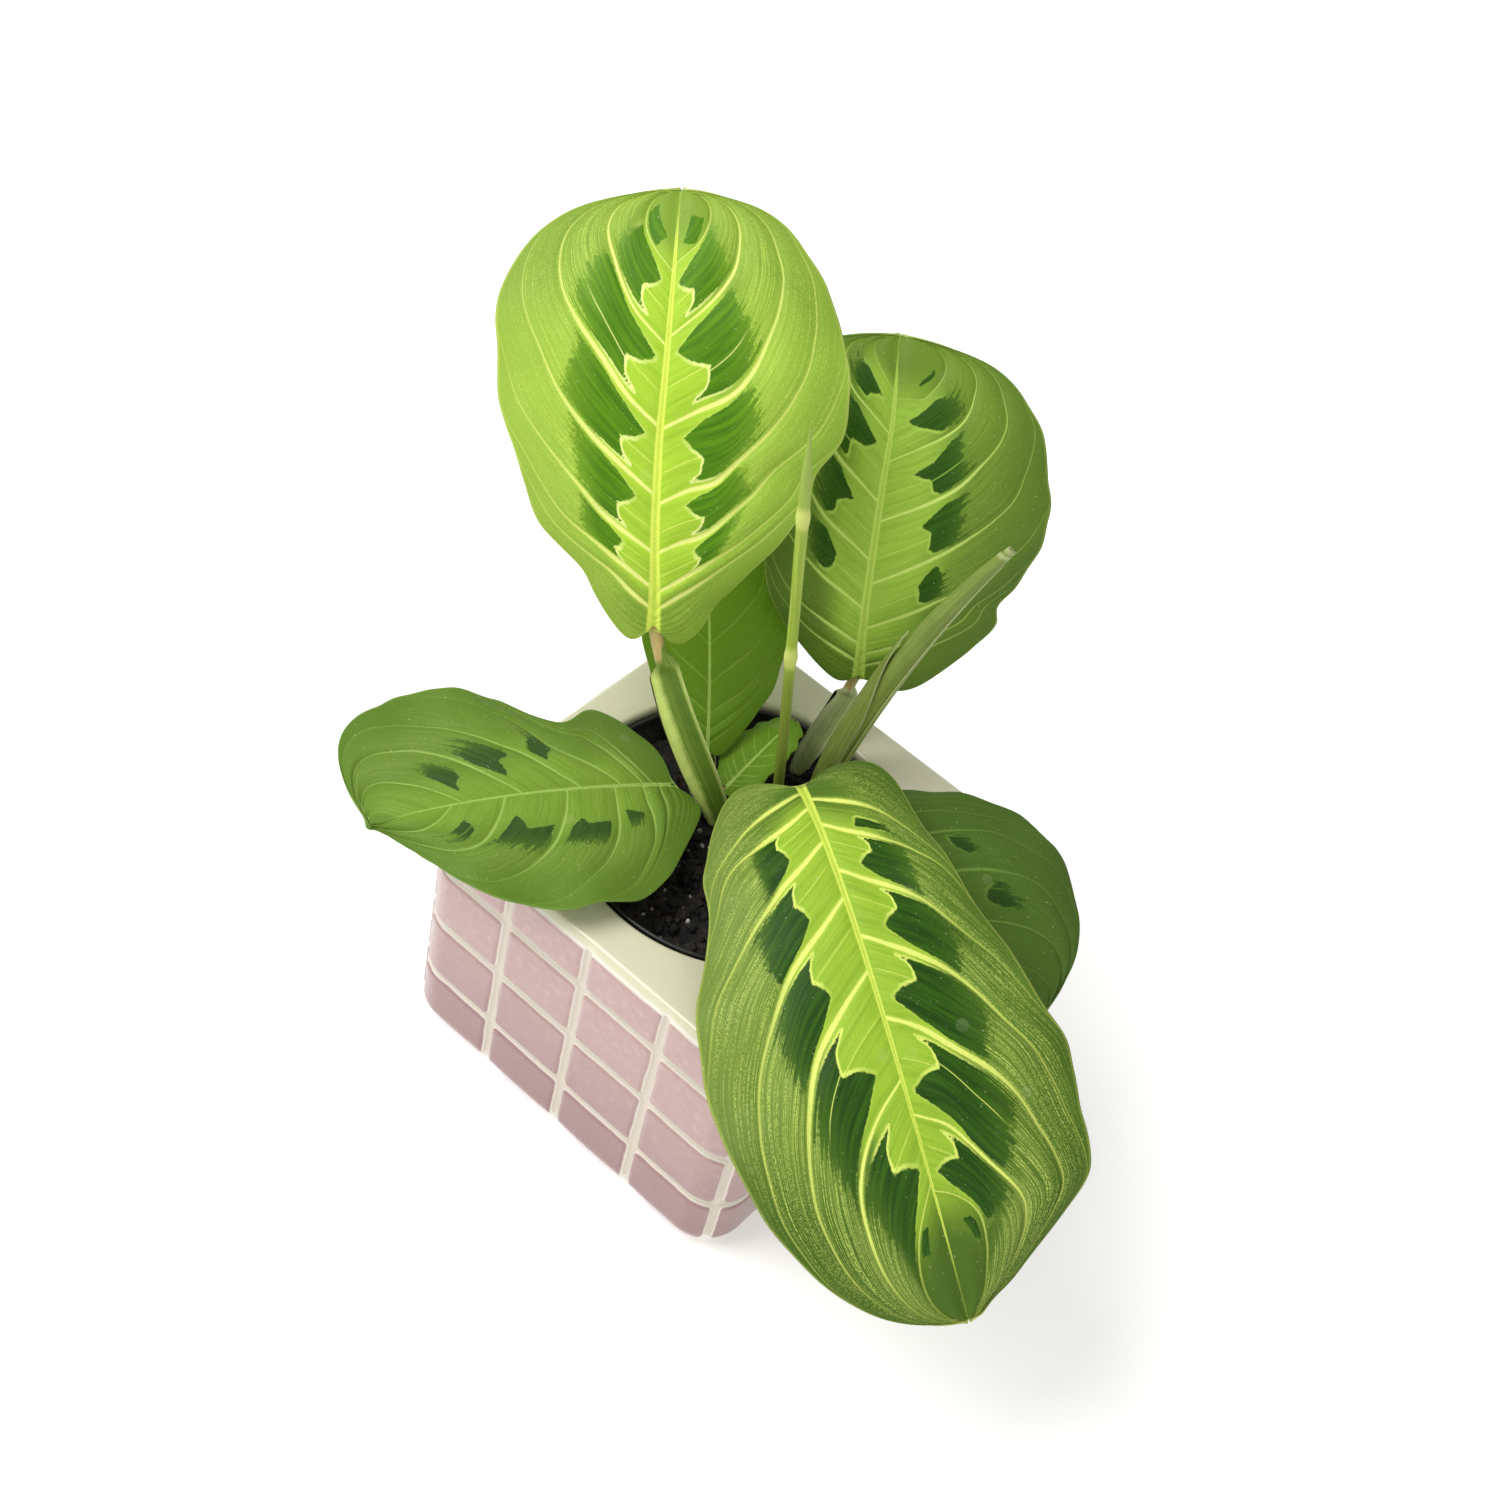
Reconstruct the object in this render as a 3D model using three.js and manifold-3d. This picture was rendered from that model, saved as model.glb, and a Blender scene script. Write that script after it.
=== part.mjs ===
// Potted prayer plant: seven patterned leaves and two rolled new leaves in a black grower's pot,
// which stands in a square glazed planter with a raised tile pattern.
// Millimetres, +Z up, origin at the middle of the planter's base.

import * as THREE from 'three';
import { mergeVertices } from 'three/addons/utils/BufferGeometryUtils.js';
import Module from 'manifold-3d';

const wasm = await Module();
wasm.setup();

// Driving dimensions of the planter
const PLANTER_HALF = 52.5;       // half the width over the tile faces
const PLANTER_HEIGHT = 77;
const CORNER_RADIUS = 11;
const TILE_PITCH = 24;           // middle columns; the columns at the corners run round them
const TILE_RELIEF = 1.2;         // how far a tile stands out of the grout
const GROUT_LINES = [20.1, 40.4, 60.8];
const GROUT_HALF = 1.2;
const TILE_SHOULDER = 1.1;       // width of the slope from the grout to the tile's face
const TOP_TILE_EDGE = 75.4;
const TOP_EDGE_RELIEF = 0.15;    // share of the relief left where the top tiles run into the deck
const TOP_ROUNDING = 1.4;
const BASE_ROUNDING = 6;
const WALL = 5;
const FLOOR = 6;
const CAVITY_SLOPE = 2.5;        // slanted edges inside, under the deck and above the floor
const OPENING_RADIUS = 40.3;
const OPENING_BEVEL = 1;

// Driving dimensions of the grower's pot and its soil
const POT_RIM_RADIUS = 39.4;
const POT_RIM_TOP = 76;
const POT_RIM_DEPTH = 5;
const POT_WALL = 1.1;
const POT_TOP_RADIUS = 37.6;
const POT_FOOT_RADIUS = 29;
const POT_SIDES = 40;
const RIM_BEVEL = 0.6;
const RIM_STEP = 0.8;            // slope under the rim, where it widens from the wall
const DRAIN_HOLES = 4;
const DRAIN_RADIUS = 3;
const DRAIN_CIRCLE = 19;
const SOIL_TOP = 70;
const SOIL_LUMP = 0.42;
const SOIL_RINGS = [0.94, 0.8, 0.62, 0.42, 0.2, 0];
const HOLE_SIDES = 16;
const GAP = 0.3;                 // clearance between pieces that touch
const STEM_HOLE_GAP = 0.4;       // round clearance of a stem in its hole

// Driving dimensions of the leaves
const BLADE_THICKNESS = 0.8;
const RIB_DEPTH = 1.0;           // the midrib stands this far out of the underside
const STEM_DEPTH = 8;            // how far a stalk goes down into the soil
const STEM_SIDES = 10;
const STEM_STEPS = 12;
const ROLLED_LEAF_STEPS = 16;
const STALK_FOOT_RADIUS = 2.1;
const STALK_THICKNESS = [2.1, 2.2, 2, 1.7];
const LOBE_END = 0.25;           // how far along the blade a lobe reaches
const LOBE_SKEW = 0.7;           // below 1 draws its furthest point towards the end of the rib
const MARGIN_PHASE = 1.9;        // how far the right margin's waves run ahead of the left one's

// Half-columns of a blade's mesh, from the midrib out, and its rows from base to tip
const BLADE_COLUMNS = [0.06, 0.22, 0.42, 0.62, 0.82, 1];
const BLADE_ROWS = 22;
const SMALL_BLADE_COLUMNS = [0.1, 0.4, 0.7, 1];
const SMALL_BLADE_ROWS = 12;
const SMALL_BLADE_WIDTH = 20;

// A leaf's rib is a cubic curve from the blade's base to its tip, and face is the way its upper
// side looks at the base and at the tip. left and right are half-widths at seven even stations
// between them, lobe is how far each side sweeps back past the rib's base, and tip how far it
// reaches on past the rib's tip. cup lifts the margins or lowers them, and wave is the height,
// number and phase of the margin's waves. edge lists the margin's nicks and bulges: side (0 left,
// 1 right), station, depth and spread. foot is where the stalk leaves the soil, bend the stalk's
// two inner control points, and sheath its widest half-width.
const LEAVES = {
  leaf_1: {
    rib: [[-34, -3, 120], [-42, 2, 150], [-60, 16, 184], [-80, 40, 194]],
    face: [[0.42, -0.62, 0.62], [0.12, -0.5, 0.86]],
    left: [6.5, 18, 30, 37, 39, 34.5, 22], right: [8, 19.5, 33, 40, 37.5, 30.5, 19.5],
    lobe: [5, 5], tip: [0, 0], cup: [-4, -4], wave: [1.0, 3, 0.2],
    edge: [[0, 0.23, 1, 0.03], [0, 0.31, -1.6, 0.04], [1, 0.18, 1.2, 0.03], [1, 0.42, 2, 0.03]],
    foot: [-6.5, 2.3], bend: [[-8.5, -2.5, 84], [-24, -5, 101]], sheath: 3.9,
  },
  leaf_2: {
    rib: [[-2, 40, 100], [-8, 42, 124], [-20, 54, 150], [-37, 77, 163]],
    face: [[0.4, -0.62, 0.66], [0.2, -0.5, 0.84]],
    left: [8, 18, 24, 27, 27, 25, 19], right: [16, 29, 35, 40, 39.5, 33, 22],
    lobe: [3, 6], tip: [0, 0], cup: [-3, -5], wave: [0.8, 3, 0.5],
    edge: [[1, 0.34, 1.6, 0.03], [1, 0.62, 0.8, 0.04]],
    foot: [-5, 30], bend: [[-5, 30, 78], [-3, 37, 88]], sheath: 3.2,
  },
  leaf_3: {
    rib: [[-18.5, -4.4, 79.5], [-28, -26.5, 88], [-41, -49, 90.5], [-53, -70, 85.5]],
    face: [[-0.05, -0.26, 0.96], [-0.2, -0.35, 0.9]],
    left: [11, 26, 31, 31, 26.5, 14, 3.5], right: [14, 24, 21.5, 30, 35, 33.5, 26],
    lobe: [6.6, 2], tip: [0, 4], cup: [-2, -2], wave: [1.0, 3, 0.1],
    edge: [[0, 0.78, 0.8, 0.04], [1, 0.36, 1, 0.05]],
    foot: [-19, -6], bend: [[-19, -6, 73], [-19, -5, 75]], sheath: 2.6,
  },
  leaf_4: {
    rib: [[10.2, 4.4, 98], [32, -10.5, 106], [75, -37.5, 96], [115, -52.5, 62]],
    face: [[0.1, -0.3, 0.95], [0.45, -0.45, 0.77]],
    left: [18, 23, 26, 32.5, 38, 34.5, 14], right: [17, 27, 31, 39.5, 40, 32.5, 19],
    lobe: [7, 8.5], tip: [0, 0], cup: [-5, -6], wave: [1.2, 4, 0],
    edge: [[0, 0.6, -1.5, 0.03], [0, 0.68, 1, 0.03], [0, 0.76, -1.2, 0.03], [0, 0.93, 1.2, 0.03]],
    foot: [9, 5], bend: [[9, 5, 80], [9, 4, 89]], sheath: 3,
  },
  leaf_5: {
    rib: [[14, 17, 85], [32, 13, 91], [58, 11, 88], [82, 14, 75]],
    face: [[0.1, -0.2, 0.97], [0.4, -0.2, 0.9]],
    left: [7, 17, 25, 31, 31, 26, 16], right: [6, 13, 18, 20, 19, 15, 9],
    lobe: [4, 4], tip: [0, 0], cup: [-2, -3], wave: [0.7, 3, 0.3],
    edge: [[0, 0.3, 0.8, 0.04]],
    foot: [11, 21], bend: [[11, 21, 76], [12, 19, 80]], sheath: 2.6,
  },
  leaf_6: {
    rib: [[-20, 10, 79], [-28, 17, 95], [-44, 30, 109], [-64, 50, 115]],
    face: [[0.45, -0.7, 0.5], [0.3, -0.6, 0.74]],
    left: [4, 9, 14, 16, 14, 10, 6], right: [5, 11, 17, 20, 19, 15, 9],
    lobe: [2, 2], tip: [0, 0], cup: [2, -2], wave: [0.5, 2, 0.1],
    edge: [[1, 0.5, 0.6, 0.05]],
    foot: [-20, 12], bend: [[-20, 12, 73], [-20, 11, 75]], sheath: 2.2,
  },
  leaf_7: {
    rib: [[-11, 8, 75.5], [-10, 15, 80.5], [-10, 22, 84], [-10, 30, 84]],
    face: [[-0.1, -0.3, 0.96], [0, -0.1, 0.96]],
    left: [4, 7, 8, 8, 6.5, 5, 3], right: [3, 5.5, 6.5, 7, 6, 5, 3],
    lobe: [1, 2], tip: [0, 0], cup: [-1.5, 1], wave: [0.3, 2, 0.1],
    edge: [[0, 0.6, 0.3, 0.05]],
    foot: [-13, 5], bend: [[-13, 5, 72], [-12.5, 6, 73.5]], sheath: 1.9,
  },
};

// A rolled new leaf: its axis as a cubic curve from the soil to the tip, and its radius at even
// stations along it, with the swollen joint between stalk and blade where the photo has it.
const ROLLED_LEAVES = {
  rolled_leaf_1: {
    axis: [[0, 15, SOIL_TOP], [-2, 12.5, 100], [-8, 10, 145], [-13, 7, 190]],
    radii: [1.7, 1.6, 1.5, 1.9, 2.0, 1.9, 1.8, 1.6, 1.4, 1.0, 0.4],
  },
  rolled_leaf_2: {
    axis: [[3, 28, SOIL_TOP], [4, 31, 92], [8, 41, 124], [20, 50, 154]],
    radii: [2.4, 3.0, 3.4, 3.5, 3.5, 3.4, 3.1, 2.7, 2.2, 1.7, 1.0],
  },
};

const COLOURS = {
  tile: 0xcdaaa3, pot: 0x1c1c1b, soil: 0x2b211b, lime: 0x9cc544, leaf: 0x5f9030,
  deep: 0x4a7f24, stalk: 0x9db04a, bud: 0x8ea24e,
};

const vector = (point) => new THREE.Vector3(...point);

// A smooth curve through values at even steps of x from 0 to 1.
function through(values, x) {
  const last = values.length - 1;
  const place = Math.min(Math.max(x, 0) * last, last - 1e-9);
  const step = Math.floor(place);
  const f = place - step;
  const before = step > 0 ? values[step - 1] : 2 * values[0] - values[1];
  const after = step + 2 > last ? 2 * values[last] - values[last - 1] : values[step + 2];
  const [start, end] = [values[step], values[step + 1]];
  return start + 0.5 * f * (end - before
    + f * (2 * before - 5 * start + 4 * end - after + f * (3 * (start - end) + after - before)));
}

const bell = (x) => Math.exp(-x * x);

// The form of a lobe, at a distance from its end of the blade
const lobe = (distance) => Math.sin(Math.PI * Math.min(distance / LOBE_END, 1) ** LOBE_SKEW) ** 2;

function geometryOf(points, triangles) {
  const geometry = new THREE.BufferGeometry();
  geometry.setAttribute('position', new THREE.Float32BufferAttribute(points.flat(), 3));
  geometry.setIndex(triangles.flat());
  return geometry;
}

// A closed skin over rings that all have the same number of points, counter-clockwise as seen
// from the end of the row, with a point at each end.
function loft(rings, firstPoint, lastPoint) {
  const count = rings[0].length;
  const points = [firstPoint, ...rings.flat(), lastPoint];
  const end = points.length - 1;
  const at = (ring, side) => 1 + ring * count + (side % count);
  const triangles = [];
  for (let side = 0; side < count; side += 1) {
    triangles.push([0, at(0, side + 1), at(0, side)]);
    triangles.push([end, at(rings.length - 1, side), at(rings.length - 1, side + 1)]);
    for (let ring = 0; ring + 1 < rings.length; ring += 1) {
      const [a, b] = [at(ring, side), at(ring, side + 1)];
      const [c, d] = [at(ring + 1, side), at(ring + 1, side + 1)];
      triangles.push([a, b, c], [b, d, c]);
    }
  }
  return geometryOf(points, triangles);
}

// Booleans with manifold-3d
function toManifold(geometry) {
  const bare = geometry.clone();
  bare.deleteAttribute('normal');
  bare.deleteAttribute('uv');
  const merged = mergeVertices(bare, 1e-4);
  return new wasm.Manifold(new wasm.Mesh({
    numProp: 3,
    vertProperties: new Float32Array(merged.attributes.position.array),
    triVerts: new Uint32Array(merged.index.array),
  }));
}

function fromManifold(solid) {
  const mesh = solid.getMesh();
  const geometry = new THREE.BufferGeometry();
  geometry.setAttribute('position', new THREE.BufferAttribute(mesh.vertProperties, 3));
  geometry.setIndex(Array.from(mesh.triVerts));
  return geometry;
}

function drill(geometry, holes) {
  let solid = toManifold(geometry);
  for (const { x, y, radius, from, to } of holes) {
    const bit = new THREE.CylinderGeometry(radius, radius, to - from, HOLE_SIDES);
    bit.rotateX(Math.PI / 2);
    bit.translate(x, y, (from + to) / 2);
    solid = solid.subtract(toManifold(bit));
  }
  return fromManifold(solid);
}

// Planter: distances along one side, from its middle to the middle of the corner's arc.
const FLAT_HALF = PLANTER_HALF - CORNER_RADIUS;
const SIDE_HALF = FLAT_HALF + CORNER_RADIUS * Math.PI / 4;

// The point at a distance along the side that faces -Y, on an outline moved in by inset.
function sidePoint(distance, inset) {
  const reach = Math.abs(distance);
  const radius = CORNER_RADIUS - inset;
  const turn = Math.max(reach - FLAT_HALF, 0) / CORNER_RADIUS;
  const x = Math.min(reach, FLAT_HALF) + radius * Math.sin(turn);
  const y = -FLAT_HALF - radius * Math.cos(turn);
  return [Math.sign(distance) * x, y];
}

// Distances along a side where the outline has points, each with its share of the tile relief.
function sideStations() {
  const shoulder = GROUT_HALF + TILE_SHOULDER;
  const half = [[GROUT_HALF, 0], [shoulder, 1]];
  half.push([TILE_PITCH - shoulder, 1], [TILE_PITCH - GROUT_HALF, 0]);
  half.push([TILE_PITCH + GROUT_HALF, 0], [TILE_PITCH + shoulder, 1]);
  half.push([FLAT_HALF, 1], [(FLAT_HALF + SIDE_HALF - shoulder) / 2, 1]);
  half.push([SIDE_HALF - shoulder, 1], [SIDE_HALF - GROUT_HALF, 0]);
  const mirrored = half.map(([distance, relief]) => [-distance, relief]).reverse();
  return [...mirrored, ...half];
}

// A ring round the planter at one height; relief 1 is the tile's face and 0 the grout's depth.
function planterRing(height, relief, inset) {
  const ring = [];
  for (let side = 0; side < 4; side += 1) {
    const turn = side * Math.PI / 2;
    for (const [distance, share] of sideStations()) {
      const [x, y] = sidePoint(distance, inset + TILE_RELIEF * (1 - share * relief));
      const point = new THREE.Vector2(x, y).rotateAround(new THREE.Vector2(), turn);
      ring.push([point.x, point.y, height]);
    }
  }
  return ring;
}

// The same ring drawn onto a circle, point by point in its own direction from the middle.
function circleRing(height, radius) {
  return planterRing(height, 0, 0).map(([x, y]) => {
    const scale = radius / Math.hypot(x, y);
    return [x * scale, y * scale, height];
  });
}

function planter() {
  const rings = [];
  for (const turn of [0, 0.3, 0.65, 1]) {
    const angle = turn * Math.PI / 2;
    const inset = BASE_ROUNDING * (1 - Math.sin(angle));
    rings.push(planterRing(BASE_ROUNDING * (1 - Math.cos(angle)), 1, inset));
  }
  for (const line of GROUT_LINES) {
    rings.push(planterRing(line - GROUT_HALF - TILE_SHOULDER, 1, 0), planterRing(line - GROUT_HALF, 0, 0));
    rings.push(planterRing(line + GROUT_HALF, 0, 0), planterRing(line + GROUT_HALF + TILE_SHOULDER, 1, 0));
  }
  rings.push(planterRing(TOP_TILE_EDGE - TILE_SHOULDER, 1, 0), planterRing(TOP_TILE_EDGE, TOP_EDGE_RELIEF, 0));
  for (const turn of [0.5, 1]) {
    const angle = turn * Math.PI / 2;
    const height = PLANTER_HEIGHT - TOP_ROUNDING * (1 - Math.sin(angle));
    rings.push(planterRing(height, 0, TOP_ROUNDING * (1 - Math.cos(angle))));
  }
  rings.push(circleRing(PLANTER_HEIGHT, OPENING_RADIUS + OPENING_BEVEL));
  rings.push(circleRing(PLANTER_HEIGHT - OPENING_BEVEL, OPENING_RADIUS));
  rings.push(circleRing(PLANTER_HEIGHT - WALL, OPENING_RADIUS));
  rings.push(planterRing(PLANTER_HEIGHT - WALL - CAVITY_SLOPE, 0, WALL));
  rings.push(planterRing(FLOOR + CAVITY_SLOPE, 0, WALL));
  rings.push(planterRing(FLOOR, 0, WALL + CAVITY_SLOPE));
  return loft(rings, [0, 0, 0], [0, 0, FLOOR]);
}

// Radii of the grower's pot's tapered wall
const potFoot = FLOOR + GAP;
const potShoulder = POT_RIM_TOP - POT_RIM_DEPTH;
const potRadius = (height) => POT_FOOT_RADIUS
  + (POT_TOP_RADIUS - POT_FOOT_RADIUS) * (height - potFoot) / (potShoulder - potFoot);

function nurseryPot() {
  const inside = (height) => potRadius(height) - POT_WALL;
  const rimInside = POT_RIM_RADIUS - POT_WALL;
  const outline = [
    [0, potFoot], [potRadius(potFoot), potFoot], [POT_TOP_RADIUS, potShoulder],
    [POT_RIM_RADIUS, potShoulder + RIM_STEP], [POT_RIM_RADIUS, POT_RIM_TOP - RIM_BEVEL],
    [POT_RIM_RADIUS - RIM_BEVEL, POT_RIM_TOP], [rimInside, POT_RIM_TOP],
    [rimInside - RIM_BEVEL, potShoulder + POT_WALL + RIM_STEP], [inside(potShoulder), potShoulder],
    [inside(potFoot + POT_WALL), potFoot + POT_WALL], [0, potFoot + POT_WALL],
  ];
  const body = new THREE.LatheGeometry(outline.map(([r, z]) => new THREE.Vector2(r, z)), POT_SIDES);
  body.rotateX(Math.PI / 2);
  const holes = [];
  for (let index = 0; index < DRAIN_HOLES; index += 1) {
    const angle = (index + 0.5) * 2 * Math.PI / DRAIN_HOLES;
    const [x, y] = [DRAIN_CIRCLE * Math.cos(angle), DRAIN_CIRCLE * Math.sin(angle)];
    holes.push({ x, y, radius: DRAIN_RADIUS, from: potFoot - 1, to: potFoot + POT_WALL + 1 });
  }
  return drill(body, holes);
}

// The height of the soil's lumps over its mean surface
const lump = (x, y) => SOIL_LUMP
  * (Math.sin(0.61 * x + 1.3) * Math.cos(0.53 * y) + 0.5 * Math.sin(0.9 * y - 0.7 * x));

function soil() {
  const edge = (height) => potRadius(height) - POT_WALL - 1.5 * GAP;
  const bottom = potFoot + POT_WALL + GAP;
  const outline = [[0, bottom], [edge(bottom), bottom], [edge(SOIL_TOP - 1), SOIL_TOP - 1]];
  for (const share of SOIL_RINGS) {
    outline.push([share * edge(SOIL_TOP), SOIL_TOP]);
  }
  const body = new THREE.LatheGeometry(outline.map(([r, z]) => new THREE.Vector2(r, z)), POT_SIDES);
  body.rotateX(Math.PI / 2);
  const position = body.attributes.position;
  for (let index = 0; index < position.count; index += 1) {
    const [x, y, z] = [position.getX(index), position.getY(index), position.getZ(index)];
    if (z > SOIL_TOP - 0.5) position.setZ(index, z + lump(x, y));
  }
  const stems = [...Object.values(LEAVES).map(stalkStart), ...Object.values(ROLLED_LEAVES).map(rolledStart)];
  const holes = stems.map(({ x, y, radius }) => ({
    x, y, radius: radius + STEM_HOLE_GAP, from: SOIL_TOP - STEM_DEPTH - GAP, to: SOIL_TOP + 3,
  }));
  return drill(body, holes);
}

const stalkStart = ({ foot }) => ({ x: foot[0], y: foot[1], radius: STALK_FOOT_RADIUS });
const rolledStart = ({ axis, radii }) => ({ x: axis[0][0], y: axis[0][1], radius: radii[0] });

// The midrib's point and directions at a share of the way from base to tip.
function ribFrame(leaf, share) {
  const curve = new THREE.CubicBezierCurve3(...leaf.rib.map(vector));
  const point = curve.getPoint(share);
  const along = curve.getTangent(share);
  const face = vector(leaf.face[0]).normalize().lerp(vector(leaf.face[1]).normalize(), share);
  const up = face.addScaledVector(along, -face.dot(along)).normalize();
  const left = new THREE.Vector3().crossVectors(up, along);
  return { point, along, up, left };
}

// A point of a blade's upper face; station runs from 0 at the base to 1 at the tip and across
// from -1 at the left margin to 1 at the right one. drop moves the point below the face.
function bladePoint(leaf, station, across, drop) {
  const share = (1 - Math.cos(Math.PI * station)) / 2;
  const { point, along, up, left } = ribFrame(leaf, share);
  const side = across < 0 ? 0 : 1;
  const reach = Math.abs(across);
  const nicks = leaf.edge.filter((nick) => nick[0] === side);
  const cut = nicks.reduce((sum, [, at, depth, spread]) => sum + depth * bell((station - at) / spread), 0);
  const width = through([0, ...(side ? leaf.right : leaf.left), 0], station) - cut;
  const swept = reach ** 1.5 * (leaf.lobe[side] * lobe(station) - leaf.tip[side] * lobe(1 - station));
  const [height, waves, phase] = leaf.wave;
  const swell = Math.sin(Math.PI * station);
  const ripple = Math.sin(2 * Math.PI * (waves * share + phase) + side * MARGIN_PHASE);
  const lift = leaf.cup[side] * reach ** 2 * swell + height * reach ** 2.5 * swell * ripple;
  point.addScaledVector(along, -swept).addScaledVector(left, -across * width);
  return point.addScaledVector(up, lift - drop).toArray();
}

// A blade is two like faces, one blade's thickness apart, with the midrib on the lower one.
function blade(leaf) {
  const small = Math.max(...leaf.left) + Math.max(...leaf.right) < SMALL_BLADE_WIDTH;
  const rows = small ? SMALL_BLADE_ROWS : BLADE_ROWS;
  const half = small ? SMALL_BLADE_COLUMNS : BLADE_COLUMNS;
  const columns = [...half.map((share) => -share).reverse(), 0, ...half];
  const points = [];
  const index = { upper: [], lower: [] };
  for (const face of ['upper', 'lower']) {
    for (let row = 0; row <= rows; row += 1) {
      const pole = row === 0 || row === rows;
      const line = [];
      for (const across of pole ? [0] : columns) {
        const depth = BLADE_THICKNESS + (across === 0 ? RIB_DEPTH : 0);
        points.push(bladePoint(leaf, row / rows, across, face === 'lower' ? depth : 0));
        line.push(points.length - 1);
      }
      index[face].push(pole ? columns.map(() => line[0]) : line);
    }
  }
  const triangles = [];
  const { upper, lower } = index;
  const add = (a, b, c) => {
    if (a !== b && b !== c && c !== a) triangles.push([a, b, c]);
  };
  for (let row = 0; row < rows; row += 1) {
    const next = row + 1;
    for (let column = 0; column + 1 < columns.length; column += 1) {
      const beside = column + 1;
      add(upper[row][column], upper[row][beside], upper[next][beside]);
      add(upper[row][column], upper[next][beside], upper[next][column]);
      add(lower[row][column], lower[next][beside], lower[row][beside]);
      add(lower[row][column], lower[next][column], lower[next][beside]);
    }
    const last = columns.length - 1;
    add(upper[row][0], upper[next][0], lower[next][0]);
    add(upper[row][0], lower[next][0], lower[row][0]);
    add(upper[row][last], lower[next][last], upper[next][last]);
    add(upper[row][last], lower[row][last], lower[next][last]);
  }
  return geometryOf(points, triangles);
}

// A ring of an oval section square to a direction, wide across and thin along face.
function ovalRing(centre, direction, face, wide, thin) {
  const thinWay = face.clone().addScaledVector(direction, -face.dot(direction)).normalize();
  const wideWay = new THREE.Vector3().crossVectors(thinWay, direction);
  const ring = [];
  for (let side = 0; side < STEM_SIDES; side += 1) {
    const angle = side * 2 * Math.PI / STEM_SIDES;
    const point = centre.clone().addScaledVector(wideWay, -wide * Math.cos(angle));
    ring.push(point.addScaledVector(thinWay, wide === 0 ? 0 : thin * Math.sin(angle)).toArray());
  }
  return ring.reverse();
}

const UP = new THREE.Vector3(0, 0, 1);

// A stem's skin: a straight round foot in the soil, then rings along a cubic curve.
function stem(curve, face, halves, steps) {
  const start = curve.getPoint(0);
  const radius = halves(0)[0];
  const rings = [];
  for (const depth of [STEM_DEPTH, STEM_DEPTH / 2]) {
    rings.push(ovalRing(start.clone().addScaledVector(UP, -depth), UP, face, radius, radius));
  }
  for (let step = 0; step <= steps; step += 1) {
    const share = step / steps;
    const direction = step === 0 ? UP : curve.getTangent(share);
    rings.push(ovalRing(curve.getPoint(share), direction, face, ...halves(share)));
  }
  const bottom = start.clone().addScaledVector(UP, -STEM_DEPTH).toArray();
  return loft(rings, bottom, curve.getPoint(1).toArray());
}

// A leaf's stalk: the open sheath, the thin stalk above it and the joint under the blade.
function stalk(leaf) {
  const { point, up } = ribFrame(leaf, 0);
  const arrival = point.clone().sub(vector(leaf.bend[1])).normalize();
  const joint = 0.3 + 0.3 * leaf.sheath;
  const rimRise = joint * Math.sqrt(1 - arrival.dot(up) ** 2);
  const seat = point.addScaledVector(up, -BLADE_THICKNESS - RIB_DEPTH - 2 * GAP - rimRise);
  const start = new THREE.Vector3(...leaf.foot, SOIL_TOP);
  const curve = new THREE.CubicBezierCurve3(start, ...leaf.bend.map(vector), seat);
  const wide = [STALK_FOOT_RADIUS, 0.85 * leaf.sheath, leaf.sheath, 0.9 * leaf.sheath, joint, joint];
  const thin = [...STALK_THICKNESS, joint, joint];
  return stem(curve, up, (share) => [through(wide, share), through(thin, share)], STEM_STEPS);
}

function rolledLeaf({ axis, radii }) {
  const curve = new THREE.CubicBezierCurve3(...axis.map(vector));
  const face = new THREE.Vector3(0.4, -0.9, 0.1);
  return stem(curve, face, (share) => [through(radii, share), through(radii, share)], ROLLED_LEAF_STEPS);
}

const object = new THREE.Group();

function addPiece(name, geometry, colour, roughness) {
  const material = new THREE.MeshStandardMaterial({ color: colour, roughness, metalness: 0 });
  const mesh = new THREE.Mesh(geometry, material);
  mesh.name = name;
  object.add(mesh);
}

addPiece('planter', planter(), COLOURS.tile, 0.25);
addPiece('nursery_pot', nurseryPot(), COLOURS.pot, 0.5);
addPiece('soil', soil(), COLOURS.soil, 0.95);

const bladeColours = { leaf_1: COLOURS.lime, leaf_2: COLOURS.lime, leaf_4: COLOURS.deep };
for (const [name, leaf] of Object.entries(LEAVES)) {
  addPiece(name, blade(leaf), bladeColours[name] ?? COLOURS.leaf, 0.5);
  addPiece(`${name}_stalk`, stalk(leaf), COLOURS.stalk, 0.55);
}
for (const [name, rolled] of Object.entries(ROLLED_LEAVES)) {
  addPiece(name, rolledLeaf(rolled), COLOURS.bud, 0.55);
}

export default object;
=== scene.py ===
# Potted prayer plant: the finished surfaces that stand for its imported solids, and a plain stage.
import random
from math import copysign, cos, exp, hypot, pi, radians, sin, sqrt
from types import SimpleNamespace

import bmesh
import bpy
from bpy.props import FloatProperty, FloatVectorProperty, IntProperty, PointerProperty
from mathutils import Matrix, Vector, noise


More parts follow.
